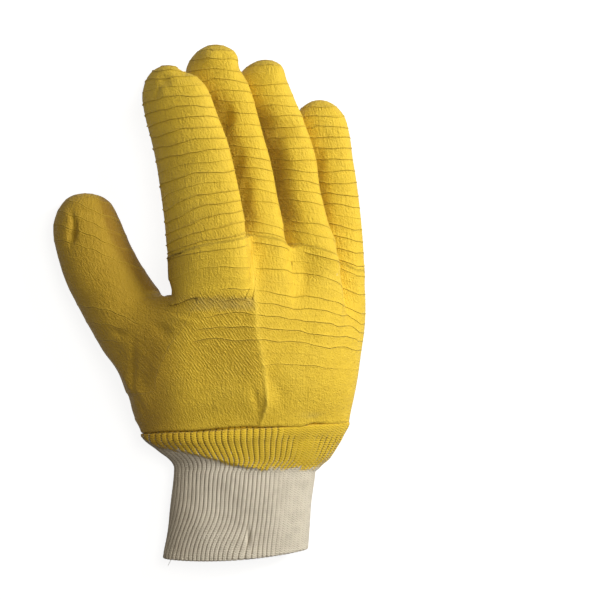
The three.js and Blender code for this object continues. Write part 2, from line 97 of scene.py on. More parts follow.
# How many times the skin is relaxed at its joints, how often it may slide as well, and the lining.
SKIN_RELAXED, SKIN_SLID, LINING_RELAXED = 120, 50, 6
# The crinkle count that the thumb's own rows start from, clear of the hand's.
THUMB_COUNT = 200
# The wales are even round the cuff at this height, and a wale has this many points.
EVEN_AT, WALE_POINTS = 20.0, 8
# The height that stands for the soaked edge under the cuff and inside it.
EDGE_UNDER = 50.0

# Each finger: length above the crotches, width, depth, place across the hand, and the angles round
# its section, clockwise, where its back, right side, palm side and left side begin.
FINGERS = (
    ("index", 92.0, 43.0, 18.4, -0.005, (150, -20, -100, -150)),
    ("middle", 103.0, 35.5, 17.4, 0.215, (85, -20, -100, -200)),
    ("ring", 96.0, 33.0, 17.0, 0.462, (85, -20, -100, -200)),
    ("little", 76.0, 29.5, 16.6, 0.612, (85, 30, -30, -200)),
)
CROTCHES = (-3.0, 5.6, 1.0, -6.5, -12.0)
# How the crinkles of each finger slant on its left and on its right half.
ROW_SLANTS = ((0.15, 0.02), (0.04, -0.05), (0.03, 0.02), (-0.02, 0.0))


def table(*names):
    """Names the columns of a table of rows, so that each column is read by its name."""

    def rows(*values):
        return dict(zip(names, np.array(values, dtype=float).T))

    return rows


# Reach is a share of the finger's length, drift of the centre a share of its width, width and depth
# shares of the finger's own.
FINGER_SECTIONS = {
    "index": table("reach", "drift", "width", "depth")(
        (0.0, -0.01, 1.07, 1.06), (0.15, -0.06, 1.02, 1.02), (0.3, -0.115, 1.0, 1.0),
        (0.44, -0.17, 0.98, 0.98), (0.57, -0.235, 0.965, 0.98), (0.7, -0.32, 0.93, 0.98),
        (0.83, -0.4, 0.88, 0.96), (1.0, -0.47, 0.84, 0.92)),
    "middle": table("reach", "drift", "width", "depth")(
        (0.0, 0.02, 1.0, 1.06), (0.1, -0.06, 1.0, 1.02), (0.24, -0.15, 1.0, 1.0),
        (0.4, -0.24, 1.0, 0.98), (0.61, -0.4, 1.0, 0.98), (0.74, -0.5, 0.98, 0.98),
        (0.86, -0.57, 0.93, 0.96), (1.0, -0.57, 0.88, 0.92)),
    "ring": table("reach", "drift", "width", "depth")(
        (0.0, 0.01, 1.0, 1.08), (0.13, -0.13, 1.0, 1.02), (0.3, -0.255, 1.0, 1.0),
        (0.47, -0.32, 1.0, 0.97), (0.61, -0.44, 1.0, 0.98), (0.75, -0.59, 0.97, 0.98),
        (0.87, -0.68, 0.93, 0.96), (1.0, -0.64, 0.88, 0.92)),
    "little": table("reach", "drift", "width", "depth")(
        (0.0, -0.015, 1.0, 1.1), (0.14, -0.045, 1.0, 1.04), (0.33, -0.09, 1.0, 1.0),
        (0.5, -0.15, 1.0, 1.0), (0.66, -0.225, 0.98, 1.0), (0.83, -0.3, 0.95, 0.98),
        (1.0, -0.3, 0.88, 0.92)),
}
# The hand from hem to crotches, in shares of its length, width and height; tilt in degrees.
HAND_SECTIONS = table("reach", "side", "lift", "half", "up", "down", "tilt")(
    (0.0, 0.163, 0.35, 0.51, 0.36, 0.37, 0), (0.17, 0.145, 0.4, 0.552, 0.44, 0.43, -1),
    (0.3, 0.141, 0.44, 0.575, 0.5, 0.47, -3), (0.46, 0.185, 0.49, 0.55, 0.54, 0.5, -7),
    (0.63, 0.245, 0.54, 0.515, 0.54, 0.47, -12), (0.82, 0.285, 0.57, 0.5, 0.5, 0.4, -17),
    (1.0, 0.265, 0.58, 0.51, 0.36, 0.34, -21))
# The thumb's centre line and section, in shares of its width and depth.
THUMB_SECTIONS = table("reach", "out", "along", "lift", "width", "depth")(
    (0.0, -0.66, 0.9, 0.66, 1.3, 1.24), (0.14, -0.87, 1.16, 0.63, 1.17, 1.2),
    (0.3, -1.11, 1.48, 0.59, 1.07, 1.12), (0.44, -1.28, 1.75, 0.54, 1.03, 1.06),
    (0.58, -1.43, 2.04, 0.5, 1.0, 1.02), (0.72, -1.55, 2.36, 0.465, 0.97, 0.98),
    (0.86, -1.625, 2.7, 0.445, 0.92, 0.94), (1.0, -1.6, 3.13, 0.425, 0.88, 0.9))
BAND_SECTIONS = table("reach", "flare", "over")(
    (0.0, 0.0, 0.03), (0.2, 0.16, 0.07), (0.45, 0.54, 0.05), (0.72, 0.89, 0.024), (1.0, 1.0, 0.0))
CUFF_SECTIONS = table("reach", "side", "half")(
    (0.0, 0.165, 0.514), (0.4, 0.197, 0.502), (1.0, 0.229, 0.502))
CUFF_SINK = 0.09
HAND_MIDDLE = HAND_SECTIONS["side"][0] * HAND_WIDTH

# The stage: the floor's half size, drop and glow, the sky, the lights and the camera.
FLOOR_HALF, FLOOR_DROP, FLOOR_GLOW = 3, 0.0004, 0.88
SKY_COLOUR, SKY_STRENGTH = (1.0, 0.9, 0.76, 1), 0.16
# Each light: name, place, size, share of the key light's power, colour.
LIGHTS = (
    ("key", (0.62, 0.28, 0.44), 0.3, 0.96, (1.0, 0.99, 0.95)),
    ("fill", (0.32, 0.2, 1.0), 0.5, 0.68, (1.0, 0.98, 0.93)),
)
LIGHTS_AIM = (0.0, 0.0, 0.02)
CAMERA_AT, LENS, SENSOR = (0.0452, 0.0011, 1.2), 139.6, 36.0


def smooth(value, low, high):
    """Rises from 0 to 1 between low and high, level at both ends."""
    share = np.clip((np.asarray(value, float) - low) / (high - low), 0, 1)
    return share * share * (3 - 2 * share)


def read(sections, reach, name):
    """Reads a column of a table at a reach, by the cubic through the four nearest rows."""
    reach = np.asarray(reach, float)
    at, column = sections["reach"], sections[name]
    i = np.clip(np.searchsorted(at, reach), 1, len(at) - 1)
    s = np.clip((reach - at[i - 1]) / (at[i] - at[i - 1]), 0, 1)
    a, b = column[np.maximum(i - 2, 0)], column[i - 1]
    c, d = column[i], column[np.minimum(i + 1, len(at) - 1)]
    return 0.5 * (2 * b + (c - a) * s + (2 * a - 5 * b + 4 * c - d) * s**2 + (3 * b - a - 3 * c + d) * s**3)


def oval(x, z, half, up, down, tilt, turn):
    """A point of an oval: half times the cosine across and up or down times the sine above, tilted."""
    t, k = np.radians(turn), np.radians(tilt)
    along = half * np.cos(t)
    off = np.where(np.sin(t) > 0, up, down) * np.sin(t)
    return x + along * np.cos(k) - off * np.sin(k), z + along * np.sin(k) + off * np.cos(k)


def finger_at(k, y):
    """The centre, half width and half depth of finger k at a height y."""
    name, length, width, depth, across, _ = FINGERS[k]
    sections = FINGER_SECTIONS[name]
    reach = np.clip((y - CROTCH_AT) / length, 0, 1)
    lean = (read(sections, 0.1, "drift") - read(sections, 0.0, "drift")) / (0.1 * length)
    drift = read(sections, reach, "drift") + lean * np.minimum(0, y - CROTCH_AT)
    half = read(sections, reach, "width") * width / 2
    return across * HAND_WIDTH + drift * width, half, read(sections, reach, "depth") * depth / 2


def height_of(k, y):
    """Height of a finger's centre: the last lies on the floor, each next one on the one before."""
    x, half, thick = finger_at(k, y)
    tilt = math.radians(FINGER_TILT)
    if k == len(FINGERS) - 1:
        return 0.93 * np.hypot(half * math.sin(tilt), thick * math.cos(tilt))
    shared = np.minimum(y, CROTCH_AT + 0.82 * FINGERS[k + 1][1])
    x, half, thick = finger_at(k, shared)
    x2, half2, thick2 = finger_at(k + 1, shared)
    rise = (thick + thick2) / 2
    for _ in range(8):
        u = np.clip(((x2 - x) * math.cos(tilt) - rise * math.sin(tilt)) / (half + half2), -0.9, 0.9)
        apart = (thick + thick2) * np.sqrt(1 - u * u) + FINGER_GAP
        rise = (apart - (x2 - x) * math.sin(tilt)) / math.cos(tilt)
    return height_of(k + 1, shared) + rise


def finger_point(k, y, turn, inset=0.0, close=1.0):
    """A point round finger k at a height y; close falls from 1 to 0 over its rounded tip."""
    x, half, thick = finger_at(k, y)
    thick = (thick - inset) * close**0.85
    px, pz = oval(x, height_of(k, y), (half - inset) * close, thick, thick, FINGER_TILT, turn)
    return np.stack(np.broadcast_arrays(px, y, pz), -1)


def hand_point(reach, turn, inset=0.0):
    """A point of the hand's plain oval at a share of its length, raised along the fold of the back."""
    at = {name: read(HAND_SECTIONS, reach, name) for name in HAND_SECTIONS}
    lift = at["lift"] * HAND_HEIGHT
    px, pz = oval(at["side"] * HAND_WIDTH, lift, at["half"] * HAND_WIDTH - inset,
                  at["up"] * HAND_HEIGHT - inset, at["down"] * HAND_HEIGHT - inset, at["tilt"], turn)
    fold = np.exp(-(((px - 0.23 * HAND_WIDTH) / (0.085 * HAND_WIDTH)) ** 2))
    return px, pz + np.where(pz > lift, 0.05 * HAND_HEIGHT * fold * smooth(reach, 0, 0.2), 0)


def thumb_line(reach):
    """The thumb's centre line: a cubic through evenly counted points."""
    knots = dict(THUMB_SECTIONS, reach=np.linspace(0, 1, len(THUMB_SECTIONS["reach"])))
    x = read(knots, reach, "out") * THUMB_WIDTH
    y = HEM_AT + read(knots, reach, "along") * THUMB_WIDTH
    return np.stack([x, y, read(knots, reach, "lift") * THUMB_DEPTH], -1)


def thumb_point(reach, turn, inset=0.0, close=1.0):
    """A point round the thumb, its section square to the centre line."""
    reach, turn, close = np.broadcast_arrays(reach, turn, close)
    reach = np.clip(reach, 0, 1)
    ahead = thumb_line(np.minimum(reach + 0.01, 1)) - thumb_line(np.maximum(reach - 0.01, 0))
    ahead /= np.linalg.norm(ahead, axis=-1, keepdims=True)
    side = np.cross(ahead, np.array([0.0, 0.0, 1.0]))
    side /= np.linalg.norm(side, axis=-1, keepdims=True)
    up = np.cross(side, ahead)
    half = (read(THUMB_SECTIONS, reach, "width") * THUMB_WIDTH / 2 - inset) * close
    thick = (read(THUMB_SECTIONS, reach, "depth") * THUMB_DEPTH / 2 - inset) * close**0.85
    t = np.radians(turn)
    return thumb_line(reach) + side * (half * np.cos(t))[..., None] + up * (thick * np.sin(t))[..., None]


def even_turns(k, y, first, last, count):
    """Angles from first to last round finger k, spaced two thirds by arc length and a third by angle."""
    fine = np.linspace(first, last, 400)
    ring = finger_point(k, np.full(fine.shape, y), fine)
    run = np.concatenate([[0], np.cumsum(np.linalg.norm(np.diff(ring, axis=0), axis=1))])
    even = np.interp(np.linspace(0, run[-1], count + 1), run, fine)
    return 0.67 * even + 0.33 * np.linspace(first, last, count + 1), run[-1]


def counted(k, y, first, last, step):
    """Even angles whose count follows from the arc's length and a column's width."""
    _, length = even_turns(k, y, first, last, 2)
    return even_turns(k, y, first, last, max(2, round(length / step)))[0]


def crinkle_rows(length, pitch, marks):
    """Rows from 0 to length, at the marks' places in each crinkle; a crest is at every half count."""
    count = max(1, round(length / pitch))
    q = (np.arange(count)[:, None] + 0.5 + np.array(marks)[None, :]).ravel()
    q = q[(q > 0.04) & (q < count - 0.04)]
    return np.concatenate([[0.0], q, [count]]), count


class Skin:
    """Collects points with their crinkle count, place round and along in millimetres, and faces."""

    FIELDS = ("count", "around", "along", "part", "soft", "calm", "full")

    def __init__(self):
        self.points, self.quads, self.tris, self.size = [], [], [], 0
        for name in self.FIELDS:
            setattr(self, name, [])

    def add(self, points, *values):
        """Adds a grid of points with a value for each field in turn, and gives back their numbers."""
        shape = points.shape[:-1]
        ids = self.size + np.arange(int(np.prod(shape))).reshape(shape)
        self.points.append(points.reshape(-1, 3))
        for name, value in zip(self.FIELDS, values + (1.0,) * (len(self.FIELDS) - len(values))):
            getattr(self, name).append(np.broadcast_to(value, shape).astype(float).ravel())
        self.size += ids.size
        return ids

    def rings(self, under, ids):
        """Quads between rows of rings, each closed on itself."""
        rows = np.vstack([under[None], ids]) if under is not None else ids
        nxt = np.roll(rows, -1, axis=1)
        self.quads.append(np.stack([rows[:-1], nxt[:-1], nxt[1:], rows[1:]], -1).reshape(-1, 4))
        return rows[-1]

    def strip(self, ids):
        """Quads of an open grid."""
        self.quads.append(np.stack([ids[:-1, :-1], ids[:-1, 1:], ids[1:, 1:], ids[1:, :-1]], -1).reshape(-1, 4))

    def fan(self, ring, tip):
        """Triangles from a ring to one point."""
        self.tris.append(np.stack([ring, np.roll(ring, -1), np.full(ring.shape, tip)], -1))

    def done(self):
        """Joins what was collected into single arrays."""
        for name in ("points", "quads", "tris", *self.FIELDS):
            setattr(self, name, np.concatenate(getattr(self, name)))
        return self


def stray(ridge, part, salt=0.0):
    """A fixed stray angle for each crinkle of each part: the broken-off part of a large sine."""
    return 2 * np.pi * np.mod(np.sin(ridge * 12.9898 + part * 78.233 + salt) * 43758.5453, 1)


def sway(count, around, part):
    """How far a crinkle strays along the hand, in millimetres: three sine waves round the girth whose
    phase changes from crinkle to crinkle."""
    wide = 0.5 * np.sin(around / 9.5 + 0.9 * count + part)
    middle = 0.28 * np.sin(around / 4.1 + 1.9 * count + 2 * part)
    return wide + middle + 0.12 * np.sin(around / 1.7 + 3.1 * count)


def girth(ring):
    """Distance run round a closed ring up to each of its points."""
    step = np.linalg.norm(np.roll(ring, -1, axis=0) - ring, axis=1)
    return np.concatenate([[0], np.cumsum(step)])


def hem_wave(x):
    """How far the hem dips or rises at a place across the hand: it follows the pulled rib."""
    at = np.array([-37.0, -24, -10, 2, 16, 34, 46, 52, 60, 71])
    rise = np.array([0.2, 0.9, 0.2, 1.1, 1.2, 0.2, -0.6, 0.9, -0.3, -0.6])
    return np.interp(x, at, rise)


def coat(inset, step, marks, pitch):
    """The skin of hand, fingers and thumb as rows of rings. The hand's last row follows the roots of the
    fingers and the rows below turn into an oval; a web is a strip between two fingers' sides; each
    finger is a tube on its share of the last row; the thumb is a tube on a hole in the hand's side."""
    skin, last = Skin(), len(FINGERS) - 1
    drop = 2.4 * inset
    crotch = CROTCH_AT + np.array(CROTCHES) - drop
    mid = [(crotch[k] + crotch[k + 1]) / 2 for k in range(len(FINGERS))]
    back, right, palm, left = [], [], [], []
    for k, (_, _, _, _, _, turns) in enumerate(FINGERS):
        back.append(counted(k, mid[k], turns[0], turns[1], step["back"]))
        palm.append(counted(k, mid[k], turns[2], turns[3], step["palm"]))
        right.append(counted(k, mid[k], turns[1], turns[2], step["side"]))
        left.append(counted(k, mid[k], turns[3], turns[0] - 360, step["side"]))
    for k in range(1, last + 1):
        turns = FINGERS[k][5]
        left[k] = even_turns(k, mid[k], turns[3], turns[0] - 360, len(right[k - 1]) - 1)[0]
    web = step["web"]
    top, spans = [], [{} for _ in FINGERS]

    def bridge(target):
        share = np.linspace(0, 1, web + 1)[1:-1, None]
        top.append(top[-1][-1] * (1 - share) + target * share)

    def arc(k, name, turns, y0, y1):
        start = sum(len(t) for t in top)
        share = (turns - turns[0]) / (turns[-1] - turns[0])
        top.append(finger_point(k, y0 + (y1 - y0) * share, turns, inset))
        spans[k][name] = (start, start + len(turns) - 1)

    for k in range(last + 1):
        if k:
            bridge(finger_point(k, crotch[k], back[k][0], inset))
        arc(k, "back", back[k], crotch[k], crotch[k + 1])
    top.append(finger_point(last, np.full(len(right[last]) - 2, crotch[-1]), right[last][1:-1], inset))
    for k in range(last, -1, -1):
        if k < last:
            bridge(finger_point(k, crotch[k + 1], palm[k][0], inset))
        arc(k, "palm", palm[k], crotch[k + 1], crotch[k])
    top.append(finger_point(0, np.full(len(left[0]) - 2, crotch[0]), left[0][1:-1], inset))
    top = np.concatenate(top)
    columns = len(top)
    top[:, 1] += ROW_SLANTS[0][0] * np.minimum(top[:, 0] + 2, 0)

    # the share of the way round that each column keeps on the oval below
    way = girth(top)
    corners = np.array([0, spans[last]["back"][1], spans[last]["palm"][0], spans[0]["palm"][1], columns])
    turn = np.interp(way[:-1], way[corners], (158, 22, -22, -158, -202))
    rows, count = crinkle_rows(HAND_LENGTH, pitch, marks)
    reach = (rows / count)[:-1, None]
    around = (way[:-1] - way[corners[1]] / 2)[None]
    held = smooth(reach, 0, 0.05) * (1 - smooth(reach, 0.94, 1))
    reach = reach + sway(rows[:-1, None], around, 0) / HAND_LENGTH * held
    px, pz = hand_point(reach, turn[None], inset)
    on_index = np.arange(columns) <= spans[0]["back"][1]
    knuckle = on_index * smooth(-np.abs(turn - 120), -60, -25)
    start = 0.5 + 0.12 * knuckle
    end = 1.0 - 0.12 * knuckle
    lobes = np.clip((reach - start[None]) / (end - start)[None], 0, 1)
    lobes = lobes * lobes * (3 - 2 * lobes)
    hem = HEM_AT + HEM_SLANT * (px - HAND_MIDDLE) + hem_wave(px) * (1 - smooth(reach, 0, 0.12))
    x = px + (top[:, 0][None] - px) * lobes
    z = pz + (top[:, 2][None] - pz) * lobes
    y = hem + (top[:, 1][None] - hem) * reach
    on_left = smooth(np.interp(y, BACK_EDGE["y"], BACK_EDGE["x"]) - x, 0, 15) * smooth(z, 12, 24)
    wave = np.interp(x, LEFT_WAVE["x"], LEFT_WAVE["up"]) * smooth(y, 98, 108) * smooth(-y, -132, -120)
    y = y + on_left * (np.interp(y, LEFT_ROWS["y"], LEFT_ROWS["up"]) + wave)
    body = np.concatenate([np.stack([x, y, z], -1), top[None]])
    near_root = smooth(rows / count, 0.8, 0.93)[:, None]
    clefts = [(way[spans[k]["back"][1]] + way[spans[k]["back"][1] + web]) / 2 for k in range(last)]
    clefts += [(way[spans[k]["palm"][0]] + way[spans[k]["palm"][0] - web]) / 2 for k in range(last)]
    to_cleft = np.abs(way[:-1, None] - np.array(clefts)[None]).min(1)[None]
    near_cleft = smooth(-to_cleft, -7, -2) * smooth(rows / count, 0.9, 0.97)[:, None]
    near_root = near_root * (0.06 + 0.94 * smooth(-to_cleft, -12, -4))

    # the hole for the thumb, its rows and columns at the same shares as in the solid
    bottom, head = np.abs(rows / count - 3 / 13).argmin(), np.abs(rows / count - 9 / 13).argmin()
    first = corners[3] - round(0.4 * (len(palm[0]) - 1))
    stop = columns + round(0.4 * (len(back[0]) - 1))
    c = np.arange(columns)
    c = np.where(c < columns / 2, c + columns, c)
    gap_c = np.maximum(np.maximum(first - c, c - stop), 0)[None]
    r = np.arange(len(rows))[:, None]
    gap_r = np.maximum(np.maximum(bottom - r, r - head), 0)
    near_hole = smooth(-np.hypot(gap_c * step["back"], gap_r * pitch / len(marks)), -22, -2)
    grid = skin.add(body, rows[:, None], around, (rows / count * HAND_LENGTH)[:, None], HAND,
                    np.maximum(near_root, near_hole**3), np.maximum(near_cleft, near_hole), way[-1])
    nxt = np.roll(grid, -1, axis=1)
    faces = np.stack([grid[:-1], nxt[:-1], nxt[1:], grid[1:]], -1)
    keep = ~((r[:-1] >= bottom) & (r[:-1] < head) & (c[None] >= first) & (c[None] < stop))
    skin.quads.append(faces[keep])

    # a rim round the hem, turned in and up inside
    if not inset:
        rim = [(WALL, 0.045, 0.0), (WALL, 0.0, 0.1), (0.75 * WALL, 0.0, -0.3), (0.3 * WALL, 0.0, -0.3)]
        points = []
        for deep, up, down in rim:
            rx, rz = hand_point(np.full(columns, up), turn, deep)
            points.append(np.stack([rx, body[0, :, 1] + up * HAND_LENGTH + down, rz], -1))
        ids = skin.add(np.stack(points), 0, around, -1, HAND, 0, 1, way[-1])
        skin.rings(None, np.vstack([ids, grid[:1]]))

    top_ids = grid[-1]
    webs = {}
    for k in range(1, last + 1):
        lows = right[k - 1]
        highs = left[k][::-1]
        share = np.linspace(0, 1, web + 1)[None, :, None]
        edge_l = finger_point(k - 1, np.full(len(lows), crotch[k]), lows, inset)[:, None]
        edge_r = finger_point(k, np.full(len(highs), crotch[k]), highs, inset)[:, None]
        sheet = edge_l * (1 - share) + edge_r * share
        sheet[..., 1] -= 1.6 * 4 * share[..., 0] * (1 - share[..., 0])
        ids = np.empty(sheet.shape[:2], int)
        over, down = np.arange(web + 1.0)[None], np.arange(1.0, len(lows) - 1)[:, None]
        ids[1:-1] = skin.add(sheet[1:-1], count, over, down, WEB, 1)
        ids[0] = top_ids[spans[k - 1]["back"][1] + np.arange(web + 1)]
        ids[-1] = top_ids[spans[k - 1]["palm"][0] - np.arange(web + 1)]
        skin.strip(ids)
        webs[k] = ids

    for k, (_, length, width, _, _, turns) in enumerate(FINGERS):
        (b0, b1), (p0, p1) = spans[k]["back"], spans[k]["palm"]
        on_right = webs[k + 1][1:-1, 0] if k < last else top_ids[b1 + 1:p0]
        on_left = webs[k][1:-1, web][::-1] if k else top_ids[p1 + 1:columns]
        loop = np.concatenate([top_ids[b0:b1 + 1], on_right, top_ids[p0:p1 + 1], on_left])
        turn_f = np.concatenate([back[k], right[k][1:-1], palm[k], left[k][1:-1]])
        base, tip, bend = mid[k], CROTCH_AT + length - inset, TIP_ROUND * width - inset
        straight = tip - bend - base
        run = straight + bend * TIP_ARC
        rows_f, count_f = crinkle_rows(run, pitch, marks)
        s = (rows_f / count_f * run)[1:, None]
        middle = finger_point(k, np.full(turn_f.shape, base + length / 3), turn_f, inset)
        around_f, full = girth(middle)[:-1][None], girth(middle)[-1]
        across = (middle[:, 0] - middle[:, 0].mean())[None]
        slope = ROW_SLANTS[k][0] * np.minimum(across, 0) + ROW_SLANTS[k][1] * np.maximum(across, 0)
        held = smooth(s, 0, 14) * (1 - smooth(s, straight, run))
        swayed = sway(rows_f[1:, None], around_f, k + 1) * smooth(s, 0, 5) * (1 - smooth(s, run - 8, run))
        s = s + slope * held + swayed
        over = np.clip((s - straight) / bend, 0, math.pi / 2)
        level = np.where(s < straight, base + s, tip - bend + bend * np.sin(over))
        close = np.cos(over)
        loop_points = np.concatenate(skin.points)[loop]
        loop_y, loop_way = loop_points[:, 1], girth(loop_points)[:-1]
        side_r = (loop_way[b1 - b0], loop_way[b1 - b0 + len(on_right) + 1]) if k < last else (-99, -98)
        side_l = (loop_way[-len(on_left) - 1], loop_way[-1]) if k else (-99, -98)
        off = [np.maximum(np.maximum(a - loop_way, loop_way - b), 0) for a, b in (side_r, side_l)]
        calm = smooth(-np.minimum(*off), -5, 0)[None] * smooth(-s, -7, -1)
        soft = smooth(-s, -10, -3) * (0.06 + 0.94 * smooth(-np.minimum(*off), -9, 0)[None])
        lean = (loop_y - base)[None] * np.clip(1 - (level - base) / (0.6 * length), 0, 1)
        ring = finger_point(k, level + lean, turn_f[None], inset, close)
        ids = skin.add(ring, count + rows_f[1:, None], around_f, s, k + 1, soft, calm, full)
        end = skin.rings(loop, ids)
        peak = finger_point(k, np.array([tip]), np.array([0.0]), inset, 0.0)
        skin.fan(end, skin.add(peak, count + count_f, 0, 0, k + 1, 0)[0])

    # the thumb: up the back edge of its hole, round the crotch, down the palm edge, round the heel
    def at(rr, cc):
        return grid[rr, np.asarray(cc) % columns]

    runs = [at(np.arange(bottom, head), stop), at(head, np.arange(stop, first, -1)),
            at(np.arange(head, bottom, -1), first), at(bottom, np.arange(first, stop))]
    edge = np.concatenate(runs)
    edge_points = np.concatenate(skin.points)[edge]
    way = girth(edge_points)
    marks_at = np.concatenate([[0], np.cumsum([len(q) for q in runs])])
    turn_t = np.interp(way[:-1], way[marks_at], (135, 45, -45, -135, -225))
    line = thumb_line(np.linspace(0, 1, 200))
    total = np.linalg.norm(np.diff(line, axis=0), axis=1).sum()
    cap = TIP_ROUND * THUMB_WIDTH
    straight = total - cap
    run = straight + cap * TIP_ARC
    s = np.linspace(0, run, 1 + round(run / step["thumb"]))[1:, None]
    over = np.clip((s - straight) / cap, 0, math.pi / 2)
    reach = np.where(s < straight, s / total, (straight + cap * np.sin(over)) / total)
    root = 1 - smooth(reach, 0, 0.34)
    lean = edge_points - thumb_point(np.zeros(len(edge)), turn_t, inset)
    ring = thumb_point(reach, turn_t[None], inset, np.cos(over)) + lean[None] * root[..., None]
    ring[..., 0] -= 2.0 * smooth(reach, 0.3, 0.9)
    way = girth(ring[len(ring) // 2])
    slant = ring[..., 0] + 79.5 - 8 - 0.45 * (160.6 - ring[..., 1])
    lines = THUMB_COUNT + (ring[..., 1] + 0.25 * (slant + np.sqrt(slant**2 + 9))) / 8.3
    lines = lines + 0.06 * np.sin(ring[..., 0] / 3.1 + ring[..., 1] / 9.0) + 0.04 * np.sin(ring[..., 0] / 1.3)
    ids = skin.add(ring, lines, way[:-1][None], s, THUMB, smooth(-s, -24, -10), smooth(-s, -26, -14), way[-1])
    end = skin.rings(edge, ids)
    peak = thumb_point(np.array([1.0]), np.array([0.0]), inset, np.array([0.0]))
    skin.fan(end, skin.add(peak, THUMB_COUNT, 0, 0, THUMB, 0)[0])
    return skin.done()


def normals_of(points, quads, tris):
    """Unit normals of the points: the sum of the normals of the faces round each."""
    total = np.zeros_like(points)
    a, b, c, d = (points[quads[:, i]] for i in range(4))
    face = np.cross(c - a, d - b)
    for i in range(4):
        np.add.at(total, quads[:, i], face)
    if len(tris):
        a, b, c = (points[tris[:, i]] for i in range(3))
        face = np.cross(b - a, c - a)
        for i in range(3):
            np.add.at(total, tris[:, i], face)
    return total / np.maximum(np.linalg.norm(total, axis=1, keepdims=True), 1e-12)


def relax(points, quads, tris, weight, times, slide=0.0):
    """Moves each point along its normal towards the middle of its neighbours, by its weight; slide is
    the share of the sideways move that is kept."""
    pairs = np.concatenate([quads[:, [0, 1]], quads[:, [1, 2]], quads[:, [2, 3]], quads[:, [3, 0]],
                            tris[:, [0, 1]], tris[:, [1, 2]], tris[:, [2, 0]]])
    pairs = np.concatenate([pairs, pairs[:, ::-1]])
    touched = np.flatnonzero(weight > 0.01)
    used = np.zeros(len(points), bool)
    used[touched] = True
    pairs = pairs[used[pairs[:, 0]]]
    degree = np.maximum(np.bincount(pairs[:, 0], minlength=len(points)), 1)[:, None]
    for i in range(times):
        if i % 8 == 0:
            out = normals_of(points, quads, tris)
        total = np.stack([np.bincount(pairs[:, 0], points[pairs[:, 1], j], len(points)) for j in range(3)], -1)
        move = total / degree - points
        move = (out * (move * out).sum(1, keepdims=True) * (1 - slide) + move * slide) * 0.6 * weight[:, None]
        points = np.where(used[:, None], points + move, points)
    return points


# How far the rows on the left of the back are moved along the hand, by their height and their place across.
LEFT_ROWS = table("y", "up")(
    (66, 0), (110, 0.4), (119, 0.4), (124.8, 1.6), (130.4, 2.7), (136, 3.2), (141.6, 3.4), (147.2, 2.6),
    (152.8, 1.2), (156, 0))
LEFT_WAVE = table("x", "up")(
    (-42, 0), (-28, 2.6), (-14, 0.2), (3, 1.4), (12, -0.2), (23, -1.3), (27, 0))

# Where each crinkle's rows of points lie, as shares of the pitch from its crest.
ROW_MARKS = (-0.25, -0.1, -0.04, 0.0, 0.05, 0.13, 0.38)

# Dents and swellings of the skin, by part (0 hand, 1 to 4 fingers, 5 thumb): the place, the half length
# and half width, the turn of the length from +Y in degrees, and the depth; a swelling has a minus depth.
DENTS = table("part", "x", "y", "long", "wide", "turn", "depth")(
    (1, -23.4, 241.8, 2.6, 3.6, 0, 1.3), (1, -15.7, 239.4, 1, 6, -8, -0.5), (1, -26.8, 236, 3, 1.2, 20, 0.7),
    (2, 7.8, 223, 5.5, 3, 15, 2), (2, 9.6, 218.2, 4, 3.5, 0, -0.7), (2, 3.3, 233.2, 2.2, 1.6, 0, -0.7),
    (2, 13, 200.7, 9, 3.2, 18, 0.9), (2, 16.9, 184.3, 10, 3, 14, 0.9), (3, 35.7, 216.9, 3.6, 7, -12, 2.2),
    (3, 38.2, 207.1, 4.5, 7, 0, -1), (3, 36.2, 211.6, 0.8, 9, -3, 0.8), (3, 30.3, 194.4, 8, 3.5, 16, 0.9),
    (3, 45, 225.7, 5, 3, 20, -0.5), (4, 57.8, 212.8, 3, 5, -20, 1.2), (4, 54.4, 202, 7, 2.5, 12, 0.8),
    (5, -70.2, 172.4, 4.6, 1.5, -16, 1.5), (5, -70.4, 165.2, 4.2, 1.8, 6, 2.4),
    (5, -73.2, 160.6, 0.7, 4.0, 0, 0.7), (5, -71.8, 170.2, 0.6, 3.5, 10, 0.6),
    (5, -64.3, 176.8, 0.8, 5, 10, 0.6), (5, -71.7, 172.4, 4, 2.2, 0, -0.5), (0, -46.1, 114.8, 2, 4, 10, 0.9),
    (0, -23.8, 116, 3, 5, 30, 1), (0, -12.2, 121.3, 1.2, 9, 12, -0.5), (0, -4.4, 104.9, 14, 9, -20, 0.8),
    (0, -27.6, 93.3, 14, 4, 24, -0.5), (0, 11.1, 85.5, 8, 10, 0, -0.8), (0, 30, 93.3, 7, 2.6, 0, 0.9),
    (0, 34.3, 85.5, 6, 3, -10, 0.8), (0, 22.7, 81.6, 7, 1.8, -14, 0.9), (0, 45.9, 139.7, 16, 3, 12, 0.7),
    (0, 55.6, 118.4, 26, 5, 4, -0.7), (0, -39, 98, 13, 1.5, 0, 0.6), (0, -36.6, 82, 8, 1.5, -22, 0.5),
)
# The same for the outline of the fingertips.
TIPS = table("part", "x", "y", "long", "wide", "turn", "depth")(
    (1, -13.0, 248.0, 5.0, 5.5, 0, 2.0), (1, -31.0, 238.0, 5.0, 4.0, 0, 1.0),
    (2, 16.5, 249.5, 6.0, 4.0, 0, 2.8), (2, 0.0, 254.0, 3.5, 5.0, 0, -1.2),
    (3, 39.0, 244.5, 6.0, 3.5, 0, 1.3), (4, 69.0, 216.0, 12.0, 4.0, 0, -1.2),
    (0, -41.0, 83.0, 13.0, 8.0, 0, -2.2))

